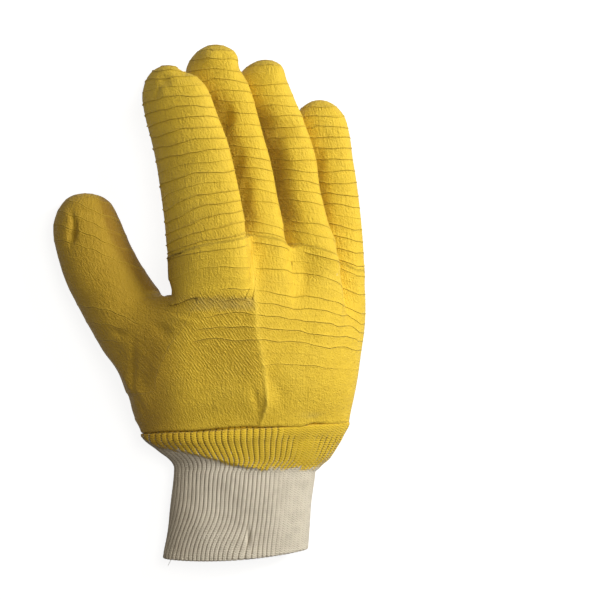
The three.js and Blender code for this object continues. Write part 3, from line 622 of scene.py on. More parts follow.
# The edge that runs down the back from between the first two fingers, and the step below the index.
BACK_EDGE = table("y", "x", "high", "wide")(
    (66.0, 23.6, 0.0, 1.5), (71.0, 25.6, 1.0, 1.4), (79.0, 28.3, 1.5, 1.5), (87.0, 28.2, 1.0, 1.8),
    (100.0, 26.3, 0.9, 1.8), (117.0, 23.6, 1.0, 1.8), (138.0, 22.4, 1.0, 1.8), (152.0, 21.2, 0.8, 2.0),
    (160.0, 20.0, 0.0, 2.0))
STEP_LINE = table("x", "y", "high")(
    (-20.0, 128.0, 0.0), (-8.0, 132.6, 0.4), (8.0, 133.4, 0.6), (22.0, 133.0, 0.5), (25.0, 132.6, 0.0))


def pressed(dents, part, x, y):
    """How deep the dents go at each point: a sum of bells, each twice as steep as it is wide."""
    depth = np.zeros_like(x)
    for i in range(len(dents["x"])):
        d = {name: column[i] for name, column in dents.items()}
        cos, sin = math.cos(math.radians(d["turn"])), math.sin(math.radians(d["turn"]))
        dx, dy = x - d["x"], y - d["y"]
        far = ((dy * cos + dx * sin) / d["long"]) ** 2 + ((dx * cos - dy * sin) / d["wide"]) ** 2
        mine = (part == d["part"]) | ((d["part"] == HAND) & (part == THUMB))
        depth += np.where(mine, d["depth"] * np.exp(-far), 0)
    return depth


def crinkle_strength(part, x, y, up):
    """How high the crinkles stand at each point, as a share: low near the hem, faint on the lower left
    of the back and on the thumb, full on the fingers."""
    edge = np.interp(y, BACK_EDGE["y"], BACK_EDGE["x"])
    left = smooth(edge - x, -1.5, 1.0)
    hand = 0.52 * smooth(y, 80, 112)
    lower_left = 0.1 + (1.15 - 0.5 * smooth(y, 123, 128)) * smooth(y, 108.5, 111.5)
    lower_left = lower_left + 0.3 * np.exp(-(((y - 96) / 2.5) ** 2))
    hand = np.where(y > 150, 0.72, hand) * (1 - left * (1 - lower_left))
    hand = hand * (1 - 0.9 * np.exp(-(((x - edge + 0.8) / 1.6) ** 2)) * smooth(y, 108, 116))
    finger = np.select([part == 1, part == 2, part == 3, part == 4], [0.95, 0.48, 0.48, 0.75], 0.42)
    return np.where(part == HAND, hand, finger) * (0.6 + 0.4 * up)


def valley_at(part, x, y):
    """How far each point of the middle and ring fingers lies in the valley beside the finger before."""
    depth = np.zeros_like(x)
    for k, near, far, share in ((1, -0.4, 0.15, 0.8), (2, -0.35, 0.45, 1.0), (3, -0.1, 0.55, 0.5)):
        centre, half, _ = finger_at(k, y)
        below_tip = FINGERS[k][1] + CROTCH_AT - 16 - y
        beside = smooth((centre - x) / half, near, far) * smooth(y, 160, 176) * smooth(below_tip, 0, 20)
        depth = np.maximum(depth, (part == k + 1) * beside * share)
    return depth


def relief(skin, normal, height, pitch):
    """Height of the crinkles and folds over the plain skin, and the strength of each crinkle."""
    x, y, _ = skin.points.T
    part = skin.part
    up = smooth(normal[:, 2], -0.2, 0.3)
    ridge = np.floor(skin.count)
    strength = crinkle_strength(part, x, y, up) * (1 - skin.calm)
    broken = 0.5 + 0.5 * np.sin(skin.around / 7.5 + stray(ridge, part))
    fine = 0.5 + 0.5 * np.sin(skin.around / 2.3 + stray(ridge, part, 4.0))
    faint = np.where(stray(ridge, part, 9.0) > 5.4, 0.35, 1.0)
    strength = strength * (0.55 + 0.3 * broken + 0.15 * fine) * faint
    crest = np.exp(-(((skin.count - ridge - 0.5) * pitch / np.where(part == THUMB, 0.7, 0.42)) ** 2))
    nubs = 1 + 0.5 * (part == INDEX) * smooth(-normal[:, 0], 0.55, 0.95)
    out = height * strength * crest * nubs
    # the skin between two crinkles is slightly full
    out += 0.1 * strength * np.cos(2 * np.pi * skin.count) * (part != THUMB)
    out -= pressed(DENTS, part, x, y) * up + pressed(TIPS, part, x, y)
    out -= 2.4 * valley_at(part, x, y) * smooth(normal[:, 2], 0.2, 0.6)
    back = up * (part == HAND)
    edge = np.interp(y, BACK_EDGE["y"], BACK_EDGE["x"])
    high, wide = (np.interp(y, BACK_EDGE["y"], BACK_EDGE[name]) for name in ("high", "wide"))
    off = x - edge
    pinch = np.where(off > 0, np.exp(-np.abs(off / wide)), np.exp(-((off / (0.55 * wide)) ** 2)))
    shelf = np.where(off > 0, np.exp(-((off / (0.8 * wide)) ** 2)), np.exp(-np.abs(off) / 12.0))
    out += back * high * (pinch + (shelf - pinch) * smooth(y, 92, 118))
    drop = y - np.interp(x, STEP_LINE["x"], STEP_LINE["y"])
    rise = np.interp(x, STEP_LINE["x"], STEP_LINE["high"])
    out += back * rise * np.where(drop > 0, np.exp(-drop / 11.0), np.exp(-((drop / 1.1) ** 2)))
    # broad lumps of a stuffed glove
    lumps = np.sin(x / 7.3 + y / 11.9 + 0.7) * np.sin(y / 9.1 - x / 16.0)
    lumps = lumps + 0.5 * np.sin(x / 4.1 - y / 5.3 + 1.9)
    out += 0.22 * lumps * up * (1 - 0.6 * skin.soft)
    return out, strength


def frame_shift():
    """The wrist's mouth in the frame: its right edge and top end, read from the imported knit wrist."""
    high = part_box("knit_wrist")[1]
    right = CUFF_WIDTH * (CUFF_SECTIONS["side"][-1] + CUFF_SECTIONS["half"][-1]) + 0.4
    return np.array([right - high[0] / MM, CUFF_LENGTH - CLEARANCE - high[1] / MM, 0.0])


def put_in_scene(name, points, faces, fields, cloth, materials, ring=None):
    """A mesh from points in millimetres and a list of face arrays, each face turned outwards already,
    with its fields on the points and its cloth map, in millimetres, on the corners. Edges between two
    points of the same ring number are sharp."""
    for old in [o for o in bpy.data.objects if o.name == name]:
        bpy.data.objects.remove(old, do_unlink=True)
    mesh = bpy.data.meshes.new(name)
    sizes = np.concatenate([np.full(len(f), f.shape[1]) for f in faces])
    corners = np.concatenate([f.ravel() for f in faces])
    mesh.vertices.add(len(points))
    mesh.vertices.foreach_set("co", ((points - frame_shift()) * MM).astype(np.float32).ravel())
    mesh.loops.add(len(corners))
    mesh.loops.foreach_set("vertex_index", corners.astype(np.int32))
    mesh.polygons.add(len(sizes))
    mesh.polygons.foreach_set("loop_start", np.concatenate([[0], np.cumsum(sizes)[:-1]]).astype(np.int32))
    mesh.polygons.foreach_set("use_smooth", np.ones(len(sizes), bool))
    for label, values in fields.items():
        mesh.attributes.new(label, "FLOAT", "POINT").data.foreach_set("value", values.astype(np.float32))
    if cloth is not None:
        mesh.uv_layers.new(name="cloth").data.foreach_set("uv", cloth.astype(np.float32).ravel())
    for material in materials:
        mesh.materials.append(material)
    mesh.update(calc_edges=True)
    if ring is not None:
        ends = np.empty(2 * len(mesh.edges), np.int32)
        mesh.edges.foreach_get("vertices", ends)
        sharp = (ring[ends[::2]] > 0) & (ring[ends[::2]] == ring[ends[1::2]])
        mesh.attributes.new("sharp_edge", "BOOLEAN", "EDGE").data.foreach_set("value", sharp)
    if mesh.validate():
        raise RuntimeError(f"{name} has faults in its mesh")
    piece = bpy.data.objects.new(name, mesh)
    bpy.context.scene.collection.objects.link(piece)
    return piece


def cloth_map(faces, around, along, turn):
    """Place round and along of each corner; a face that closes a ring runs on past its full turn."""
    out = []
    for f in faces:
        u, full = around[f], turn[f]
        u = np.where(u.max(1, keepdims=True) - u > 0.5 * full, u + full, u)
        out.append(np.stack([u, along[f]], -1).reshape(-1, 2))
    return np.concatenate(out)


def rib_section(y):
    """The oval of the rib at a height y: the cuff below, flaring into the hem above."""
    reach = np.clip(y / CUFF_LENGTH, 0, 1)
    up_band = np.clip((y - CUFF_LENGTH) / BAND_LENGTH, 0, 1)
    flare = np.clip(read(BAND_SECTIONS, up_band, "flare"), 0, 1)
    tall = CUFF_HEIGHT / 2
    low = {"x": read(CUFF_SECTIONS, reach, "side") * CUFF_WIDTH, "z": tall - CUFF_SINK * CUFF_HEIGHT,
           "half": read(CUFF_SECTIONS, reach, "half") * CUFF_WIDTH, "up": tall, "down": tall,
           "slant": 0.0, "bow": MOUTH_BOW * (1 - reach)}
    inset = WALL + CLEARANCE + 0.4
    hem = {name: HAND_SECTIONS[name][0] for name in HAND_SECTIONS}
    high = {"x": HAND_MIDDLE, "z": hem["lift"] * HAND_HEIGHT, "half": hem["half"] * HAND_WIDTH - inset,
            "up": hem["up"] * HAND_HEIGHT - inset, "down": hem["down"] * HAND_HEIGHT - inset,
            "slant": HEM_SLANT, "bow": 0.0}
    mixed = {name: low[name] + (high[name] - low[name]) * flare for name in high}
    over = np.where(y > CUFF_LENGTH, read(BAND_SECTIONS, up_band, "over"), 0)
    over = np.maximum(over, BAND_SECTIONS["over"][0] * smooth(y, CUFF_LENGTH - 2.5, CUFF_LENGTH))
    over = over * CUFF_WIDTH / 2
    return dict(mixed, x=mixed["x"] + over, half=mixed["half"] + over)


def rib_point(y, turn, grow):
    """A point of the rib tube, pushed out by grow and laid flat on the floor."""
    s = rib_section(y)
    t = np.radians(turn)
    px = s["x"] + (s["half"] + grow) * np.cos(t)
    pz = s["z"] + (np.where(np.sin(t) > 0, s["up"], s["down"]) + grow) * np.sin(t)
    floor = np.where(y > CUFF_LENGTH, (WALL + CLEARANCE) * smooth(y, HEM_AT - 5, HEM_AT), 0)
    py = y + s["slant"] * (px - HAND_MIDDLE) + s["bow"] * (px / CUFF_WIDTH - MOUTH_LOW) ** 2
    return np.stack(np.broadcast_arrays(px, py, np.maximum(pz, floor - np.minimum(grow, 0))), -1)


def even_round(y, share):
    """The angle at each share of the way round the rib at height y."""
    turn = np.linspace(0, 360, 721)
    ring = rib_point(np.full(turn.shape, y), turn, 0.0)
    run = np.concatenate([[0], np.cumsum(np.linalg.norm(np.diff(ring, axis=0), axis=1))])
    return np.interp(share, run / run[-1], turn)


def rib_turns(y, share):
    """The angle of each column at each row: even round the cuff below and round the hem above."""
    low, high = even_round(EVEN_AT, share), even_round(HEM_AT, share)
    gap = high - low
    return low + (gap - 360 * np.round(gap / 360)) * smooth(y, CUFF_LENGTH - 4, HEM_AT)


def wale_drift(x, y):
    """How far the wales lean to the left near the mouth, in wales: most on the left, with a slow wave."""
    low = smooth(-y, -26, 0)
    return 1.9 * low * smooth(-x, -26, -6) + 0.1 * np.sin(y / 4.6 + x / 9.0) * smooth(-x, -30, 0)


SOAKED_EDGE = table("x", "y")(
    (-40, 63.5), (-34.6, 62.6), (-26, 56.2), (-13, 54.0), (0.8, 50.6), (16, 46.5), (27.5, 44.8), (37.6, 46.5),
    (50.7, 45.4), (57.8, 48.6), (69.4, 60.0), (80, 66.0))
RIB_DENTS = table("x", "y", "long", "wide", "depth")(
    (18.6, 11.5, 4.2, 0.9, 1.1), (21.0, 10.5, 3.6, 1.0, -0.5), (-20.0, 58.0, 3.0, 6.0, 0.5),
    (49.5, 57.0, 8.0, 6.0, -0.5), (-4.0, 16.0, 9.0, 5.0, -0.45), (5.0, 28.0, 10.0, 8.0, 0.35))


def rib_tube(y_rows, wales, depth):
    """The rib's outside as rows of wales: each wale is a rounded bar, the rows run from the mouth up.
    Gives the points, the place of each in wales, how far it lies above the soaked edge and how high on
    its bar it is."""
    u = np.arange(wales * WALE_POINTS)[None] / WALE_POINTS
    y = y_rows[:, None]
    turn = rib_turns(y, (u / wales) % 1)
    px, py, pz = np.moveaxis(rib_point(y, turn, 0.0), -1, 0)
    wale = u - wale_drift(px, py) * smooth(pz, 3, 10)
    far = np.abs(2 * (wale % 1) - 1)
    bar = 0.85 * (1 - smooth(far, 0.55, 1.0)) + 0.15 * (1 - far**2)
    # the wales flatten out on the right of the cuff, and the coat fills them at one place and at the hem
    filled = np.exp(-(((px - 47.5) / 5.0) ** 2)) * smooth(py, 45, 51) * smooth(-py, -70, -62)
    filled = np.maximum(filled, smooth(px, 30, 42) * smooth(py, 61.5, 64.5))
    plain = smooth(px, 24, 42) * smooth(-py, -47, -43)
    flat = (1 - 0.85 * filled) * (1 - 0.72 * plain)
    grow = depth * (bar - 0.6) * flat
    grow = grow * (1 + 0.2 * np.sin(2.3 * np.floor(wale) + y / 6.0))
    grow = grow + 0.06 * np.sin(y * 5.4 + 2.1 * np.floor(wale)) * flat
    up = smooth(pz, 4, 9)
    for i in range(len(RIB_DENTS["x"])):
        d = {name: column[i] for name, column in RIB_DENTS.items()}
        far = ((px - d["x"]) / d["wide"]) ** 2 + ((py - d["y"]) / d["long"]) ** 2
        grow = grow - up * d["depth"] * np.exp(-far)
    grow = grow + 0.25 * np.sin(px / 8.0 + py / 6.0) * up
    under = smooth(-pz, -9, -4)
    edge = np.interp(px, SOAKED_EDGE["x"], SOAKED_EDGE["y"]) * (1 - under) + EDGE_UNDER * under
    # the soaked band is thicker than the bare rib, and meets the hem flush before it goes under
    thick = 1.7 * smooth(py - edge, -0.2, 1.1) * smooth(-px, -44, -12) * smooth(pz, 2, 8)
    from_hem = HEM_AT + HEM_SLANT * (px - HAND_MIDDLE) - py
    grow = grow + 1.7 * smooth(-from_hem, -9, -1.5) * smooth(from_hem, 0.2, 0.9)
    grow = grow + thick * smooth(from_hem, 0, 7) - 1.3 * smooth(px, 56, 66) * smooth(py, 60, 66)
    grow = grow + 0.9 * smooth(-px, 26, 34) * smooth(py, 57, 63)
    points = rib_point(y, turn, grow)
    points[..., 1] -= 0.45 * bar * smooth(-y, -1.6, 0)
    return points, wale, points[..., 1] - edge, 1 - (1 - bar) * flat


def make_rib(name, y_rows, settings, material, mouth):
    """One closed tube of rib knit: the wales outside, a plain wall inside and, at the mouth, a rounded
    rim."""
    outside, wale, above, bar = rib_tube(y_rows, settings.wales, settings.wale_depth / MM)
    columns = outside.shape[1]
    share = np.arange(columns)[None] / columns
    inner_rows = np.unique(np.concatenate([y_rows[::-6], y_rows[[0, -1]]]))[::-1]
    turn = rib_turns(inner_rows[:, None], share)
    inside = rib_point(inner_rows[:, None], turn, -KNIT_WALL)
    blocks = [outside[::-1]]
    if mouth:
        for part, down in ((0.12, 0.55), (0.4, 0.95), (0.75, 0.75)):
            ring = outside[0] * (1 - part) + inside[-1] * part
            ring[:, 1] -= down
            blocks.append(ring[None])
    blocks.append(inside[::-1])
    points = np.concatenate(blocks)
    count = len(points)
    ids = np.arange(count * columns).reshape(count, columns)
    nxt = np.roll(ids, -1, axis=1)
    around, beside = np.vstack([ids, ids[:1]]), np.vstack([nxt, nxt[:1]])
    quads = np.stack([around[:-1], around[1:], beside[1:], beside[:-1]], -1).reshape(-1, 4)[:, ::-1]
    pad = count - len(outside)
    wale = np.vstack([wale[::-1], np.repeat(wale[:1], pad, 0)])
    above = np.vstack([above[::-1], points[len(outside):, :, 1] - EDGE_UNDER])
    bar = np.vstack([bar[::-1], np.repeat(bar[:1], pad, 0)])
    turns = np.full(count * columns, float(settings.wales))
    cloth = cloth_map([quads], wale.ravel(), points[..., 1].ravel(), turns)
    fields = {"above": above.ravel(), "bar": bar.ravel()}
    ring = np.zeros((count, columns), int)
    ring[0] = 1
    ring[len(outside) - 1] = 0 if mouth else 2
    return put_in_scene(name, points.reshape(-1, 3), [quads], fields, cloth, [material], ring.ravel())


def tinted(colour, *factors):
    """A colour with each channel times its factor."""
    return tuple(c * f for c, f in zip(colour, factors))


class Nodes:
    """Short ways to add the nodes of one material and to join them."""

    def __init__(self, name, colour, roughness):
        old = bpy.data.materials.get(name)
        if old:
            bpy.data.materials.remove(old)
        self.material = bpy.data.materials.new(name)
        self.material.use_nodes = True
        self.material.diffuse_color = (*colour, 1)
        self.tree = self.material.node_tree
        self.shader = self.tree.nodes["Principled BSDF"]
        self.shader.inputs["Base Color"].default_value = (*colour, 1)
        self.shader.inputs["Roughness"].default_value = roughness
        self.column = 0

    def add(self, kind, **values):
        node = self.tree.nodes.new(kind)
        node.location = (-300 - 180 * (self.column // 6), 300 - 180 * (self.column % 6))
        self.column += 1
        for key, value in values.items():
            setattr(node, key, value)
        return node

    def put(self, socket, value):
        if isinstance(value, bpy.types.NodeSocket):
            self.tree.links.new(value, socket)
        else:
            socket.default_value = value

    def math(self, operation, a, b=0.0, c=0.0, clamp=False):
        node = self.add("ShaderNodeMath", operation=operation, use_clamp=clamp)
        for socket, value in zip(node.inputs, (a, b, c)):
            self.put(socket, value)
        return node.outputs[0]

    def away(self, value, middle):
        """How far a value lies from a middle one, to either side."""
        return self.math("ABSOLUTE", self.math("SUBTRACT", value, middle))

    def total(self, first, *others):
        """The sum of pairs of a value and its share."""
        out = self.math("MULTIPLY", *first)
        for pair in others:
            out = self.math("ADD", out, self.math("MULTIPLY", *pair))
        return out

    def field(self, name):
        """A value that the mesh carries on its points."""
        return self.add("ShaderNodeAttribute", attribute_name=name).outputs["Fac"]

    def place(self):
        """Object coordinates in millimetres."""
        node = self.add("ShaderNodeVectorMath", operation="SCALE")
        self.put(node.inputs[0], self.add("ShaderNodeTexCoord").outputs["Object"])
        node.inputs["Scale"].default_value = 1000
        return node.outputs[0]

    def stretched(self, vector, x, y, z, turn=0.0):
        node = self.add("ShaderNodeMapping")
        self.put(node.inputs["Vector"], vector)
        node.inputs["Rotation"].default_value[2] = math.radians(turn)
        node.inputs["Scale"].default_value = (x, y, z)
        return node.outputs[0]

    def noise(self, vector, scale, detail=2.0, rough=0.5, warp=0.0):
        node = self.add("ShaderNodeTexNoise")
        self.put(node.inputs["Vector"], vector)
        node.inputs["Scale"].default_value = scale
        node.inputs["Detail"].default_value = detail
        node.inputs["Roughness"].default_value = rough
        node.inputs["Distortion"].default_value = warp
        return node.outputs["Fac"]

    def grade(self, value, low, high, to_low=0.0, to_high=1.0):
        """Turns low to high into to_low to to_high, smoothly and held at both ends."""
        node = self.add("ShaderNodeMapRange", interpolation_type="SMOOTHSTEP")
        for socket, number in zip(node.inputs, (value, low, high, to_low, to_high)):
            self.put(socket, number)
        return node.outputs["Result"]

    def mix(self, share, first, second, blend="MIX"):
        node = self.add("ShaderNodeMix", data_type="RGBA", blend_type=blend)
        self.put(node.inputs["Factor"], share)
        for socket, colour in ((node.inputs["A"], first), (node.inputs["B"], second)):
            self.put(socket, (*colour, 1) if isinstance(colour, tuple) else colour)
        return node.outputs["Result"]

    def bump(self, height, strength, distance, normal=None):
        node = self.add("ShaderNodeBump")
        node.inputs["Strength"].default_value = strength
        node.inputs["Distance"].default_value = distance
        self.put(node.inputs["Height"], height)
        if normal is not None:
            self.put(node.inputs["Normal"], normal)
        return node.outputs["Normal"]


def latex_material(s):
    """Matt latex: a deep yellow with a fine dull grain, faint twill where the coat is thin, thin lines of
    painted shadow under the crinkles with painted highlights on their crests, a greyer band and spot,
    painted shade, and a painted highlight along the edge of the back."""
    n = Nodes("latex coat", tuple(s.latex_colour), 0.62)
    place = n.place()
    cloth = n.add("ShaderNodeUVMap", uv_map="cloth").outputs[0]
    names = ("count", "strength", "thin", "dust", "rough", "worn", "shade")
    count, strength, thin, dust, rough, worn, shade = (n.field(name) for name in names)
    part = n.math("FRACT", count)
    off = n.math("SUBTRACT", part, 0.5)
    # line is a painted shadow just below each crinkle's crest and crest a painted highlight on it; both also
    # bump the surface
    line = n.grade(n.math("ABSOLUTE", n.math("ADD", off, 0.055)), 0.0, 0.06, 1.0, 0.0)
    crest = n.grade(n.away(off, 0.03), 0.0, 0.05, 1.0, 0.0)
    line = n.math("MULTIPLY", line, n.grade(strength, 0.03, 0.4))
    crest = n.math("MULTIPLY", crest, n.grade(strength, 0.03, 0.5))
    broad = n.noise(place, 0.035, 3, 0.55)
    mottled = n.noise(place, 0.22, 4, 0.6)
    grain = n.noise(place, 1.1, 3, 0.65)
    pits = n.noise(place, 0.85, 2, 0.7, 0.4)
    pleats = n.noise(n.stretched(cloth, 0.95, 0.2, 1), 1.0, 3, 0.6)
    twill_wave = n.add("ShaderNodeTexWave", wave_type="BANDS", bands_direction="X", wave_profile="SIN")
    n.put(twill_wave.inputs["Vector"], n.stretched(place, 1, 1, 1, -36))
    twill_wave.inputs["Scale"].default_value = 0.24
    twill_wave.inputs["Distortion"].default_value = 3.6
    twill_wave.inputs["Detail"].default_value = 2
    twill_wave.inputs["Detail Scale"].default_value = 1.2
    knots = n.noise(n.stretched(n.stretched(place, 1, 1, 1, -36), 0.75, 0.28, 1), 1.0, 2, 0.6)
    twill = n.math("MULTIPLY", twill_wave.outputs["Fac"], n.grade(knots, 0.35, 0.62))
    colour = tuple(s.latex_colour)
    deep = tinted(colour, 0.62, 0.55, 0.4)
    pale = tinted(colour, 1.06, 1.1, 1.7)
    greyish = (0.42, 0.32, 0.09)
    tone = n.mix(n.grade(mottled, 0.3, 0.7, 0.0, 0.22), colour, deep)
    tone = n.mix(n.grade(broad, 0.45, 0.75, 0.0, 0.35), tone, pale)
    tone = n.mix(n.grade(pits, 0.62, 0.75, 0.0, 0.3), tone, deep)
    # greyer and darker in the band below the step and at a spot near the hem
    tone = n.mix(n.math("MULTIPLY", dust, n.grade(mottled, 0.2, 0.75, 0.5, 1.0)), tone, greyish)
    tone = n.mix(n.math("MULTIPLY", thin, n.grade(knots, 0.3, 0.7, 0.5, 0.2)), tone, deep)
    # painted shade in the valleys beside the fingers and on the thumb's flank
    tone = n.mix(n.math("MULTIPLY", rough, n.grade(mottled, 0.35, 0.65, 0.6, 0.1)), tone, deep)
    tone = n.mix(shade, tone, tinted(colour, 0.42, 0.34, 0.18))
    # painted shadow under each crinkle and painted highlight on its crest
    tone = n.mix(n.math("MULTIPLY", line, 0.5), tone, deep)
    tone = n.mix(n.math("MULTIPLY", crest, 0.25), tone, pale)
    # painted highlight along the edge down the back
    tone = n.mix(n.math("MULTIPLY", worn, 0.7), tone, pale)
    n.put(n.shader.inputs["Base Color"], tone)
    n.put(n.shader.inputs["Roughness"], n.grade(grain, 0.2, 0.8, 0.55, 0.75))
    n.shader.inputs["Specular IOR Level"].default_value = 0.35
    n.shader.inputs["Sheen Weight"].default_value = 0.05
    lumpy = n.noise(place, 0.42, 4, 0.62)
    lump_share = n.math("ADD", n.math("MULTIPLY", rough, 2.6), 0.45)
    height = n.total((grain, 0.8), (lumpy, lump_share), (pits, -0.4), (pleats, 0.75),
                     (n.math("MULTIPLY", twill, thin), 0.34), (line, -0.35), (crest, 0.2))
    n.put(n.shader.inputs["Normal"], n.bump(height, 1.0, s.grain_depth))
    return n.material


def rib_material(name, s):
    """Rib knit: cream cotton loops with painted tan shade in the holes along the furrows; above the soaked
    edge they are latex yellow with painted brown shade in those holes, with bare cream left in the
    furrows near that edge; both are darker towards the left in painted shade."""
    n = Nodes(name, tuple(s.cotton_colour), 0.85)
    place = n.place()
    cloth = n.add("ShaderNodeUVMap", uv_map="cloth").outputs[0]
    parts = n.add("ShaderNodeSeparateXYZ")
    n.put(parts.inputs[0], cloth)
    wale, along = parts.outputs[0], parts.outputs[1]
    bar, above = n.field("bar"), n.field("above")
    course = n.math("FRACT", n.math("DIVIDE", along, 1.15))
    inside = n.math("FRACT", wale)
    middle = n.away(inside, 0.5)
    # each loop is a V: its legs rise away from the wale's middle
    leg = n.math("FRACT", n.math("ADD", n.math("DIVIDE", along, 1.15), n.math("MULTIPLY", middle, -1.3)))
    loop = n.grade(n.away(leg, 0.5), 0.12, 0.48, 1.0, 0.0)
    furrow = n.grade(bar, 0.12, 0.62, 1.0, 0.0)
    hole = n.math("MULTIPLY", furrow, n.grade(n.away(course, 0.5), 0.12, 0.38, 1.0, 0.12))
    fuzz = n.noise(place, 1.6, 4, 0.65)
    mottled = n.noise(place, 0.18, 3, 0.55)
    fleck = n.noise(n.stretched(cloth, 0.5, 0.9, 1), 1.0, 3, 0.7)
    ragged = n.noise(n.stretched(cloth, 1.0, 0.12, 1), 1.0, 2, 0.6)
    cream = tuple(s.cotton_colour)
    shade = tinted(cream, 0.4, 0.31, 0.19)
    grey = tinted(cream, 0.8, 0.79, 0.78)
    yellow = tuple(s.latex_colour)
    amber = tinted(yellow, 0.5, 0.42, 0.25)
    brown = tinted(yellow, 0.2, 0.15, 0.1)
    bare = n.mix(n.grade(mottled, 0.4, 0.7, 0.0, 0.6), cream, grey)
    # painted shade in the holes of the loops along the furrows
    bare = n.mix(n.math("MULTIPLY", hole, 0.9), bare, shade)
    bare = n.mix(n.grade(fleck, 0.66, 0.8, 0.0, 0.35), bare, (0.46, 0.36, 0.2))
    # painted brown shade in the same holes on the soaked part
    soaked = n.mix(n.math("MULTIPLY", hole, 0.85), yellow, brown)
    soaked = n.mix(n.grade(mottled, 0.35, 0.7, 0.0, 0.2), soaked, amber)
    # painted shade: the soaked band and the bare cuff turn darker towards the left, which faces away from the
    # light
    left_shade_place = n.add("ShaderNodeSeparateXYZ")
    n.put(left_shade_place.inputs[0], place)
    soaked = n.mix(n.grade(left_shade_place.outputs[0], -34.0, 8.0, 0.85, 0.0), soaked, amber)
    bare = n.mix(n.grade(left_shade_place.outputs[0], -24.0, 4.0, 0.3, 0.0), bare, shade)
    # the coat ends in a ragged line and leaves the furrows bare for some way above it
    reach = n.math("ADD", above, n.math("MULTIPLY", n.math("SUBTRACT", ragged, 0.5), 7.0))
    reach = n.math("ADD", reach, n.math("MULTIPLY", n.math("SUBTRACT", fuzz, 0.5), 3.0))
    reach = n.math("SUBTRACT", reach, n.math("MULTIPLY", furrow, n.grade(fleck, 0.35, 0.65, 0.3, 8.0)))
    cover = n.grade(reach, -0.5, 0.5)
    n.put(n.shader.inputs["Base Color"], n.mix(cover, bare, soaked))
    n.put(n.shader.inputs["Roughness"], n.grade(fuzz, 0.2, 0.8, 0.8, 0.95))
    n.shader.inputs["Specular IOR Level"].default_value = 0.25
    n.shader.inputs["Sheen Weight"].default_value = 0.15
    height = n.total((loop, 0.28), (hole, -0.9), (fuzz, 0.75))
    n.put(n.shader.inputs["Normal"], n.bump(height, 1.0, s.stitch_depth))
    return n.material


def lining_material(s):
    """Brushed cotton jersey inside the hand: fine upright wales and fluff."""
    n = Nodes("cotton lining", tuple(s.cotton_colour), 0.92)
    place = n.place()
    cloth = n.add("ShaderNodeUVMap", uv_map="cloth").outputs[0]
    wave = n.add("ShaderNodeTexWave", wave_type="BANDS", bands_direction="X")
    n.put(wave.inputs["Vector"], cloth)
    wave.inputs["Scale"].default_value = 0.3
    fluff = n.noise(place, 1.1, 4, 0.6)
    cream = tuple(s.cotton_colour)
    dark = tinted(cream, 0.7, 0.7, 0.7)
    n.put(n.shader.inputs["Base Color"], n.mix(n.grade(fluff, 0.35, 0.7, 0.0, 0.6), cream, dark))
    height = n.math("ADD", n.math("MULTIPLY", wave.outputs["Fac"], 0.4), fluff)
    n.put(n.shader.inputs["Normal"], n.bump(height, 0.8, 0.0004))
    n.shader.inputs["Sheen Weight"].default_value = 0.2
    return n.material


def thread_material(s):
    """Loose cotton yarn: cream with a twist of darker fibre."""
    n = Nodes("cotton yarn", tuple(s.cotton_colour), 0.9)
    twist = n.add("ShaderNodeTexWave", wave_type="BANDS", bands_direction="DIAGONAL")
    n.put(twist.inputs["Vector"], n.place())
    twist.inputs["Scale"].default_value = 0.7
    cream = tuple(s.cotton_colour)
    n.put(n.shader.inputs["Base Color"], n.mix(twist.outputs["Fac"], tinted(cream, 0.8, 0.8, 0.8), cream))
    n.put(n.shader.inputs["Normal"], n.bump(twist.outputs["Fac"], 0.6, 0.0001))
    return n.material


def length_setting(name, description, default, low, high):
    """A length in the panel, in metres."""
    return FloatProperty(name=name, description=description, default=default, min=low, max=high,
                         subtype="DISTANCE", unit="LENGTH", precision=5)


class GLOVE_PG_looks(bpy.types.PropertyGroup):
    """Sizes and colours of the glove's looks."""

    crinkle_height: length_setting("Crinkle height", "How far a full crinkle stands off the skin",
        0.00062, 0, 0.002)
    crinkle_pitch: length_setting("Crinkle pitch", "Distance from one crinkle to the next",
        0.0056, 0.003, 0.012)
    grain_depth: length_setting("Grain depth", "Depth of the latex's fine grain",
        0.0007, 0, 0.002)
    latex_colour: FloatVectorProperty(name="Latex", description="Colour of the latex coat", subtype="COLOR",
                                      default=(0.8, 0.55, 0.036), min=0, max=1)
    cotton_colour: FloatVectorProperty(name="Cotton", description="Colour of the bare cotton", subtype="COLOR",
                                       default=(0.72, 0.66, 0.54), min=0, max=1)
    wales: IntProperty(name="Wales", description="Number of rib wales round the wrist",
                       default=72, min=24, max=120)
    wale_depth: length_setting("Wale depth", "How far a wale stands out of its furrow",
        0.00042, 0, 0.002)
    stitch_depth: length_setting("Stitch depth", "Depth of the knit's single loops",
        0.0006, 0, 0.002)
    thread_length: length_setting("Thread length", "Length of the loose thread at the mouth",
        0.006, 0.002, 0.02)
    key_light: FloatProperty(name="Key light", description="Power of the light from the right", default=6.0,
                             min=0, subtype="POWER", unit="POWER")


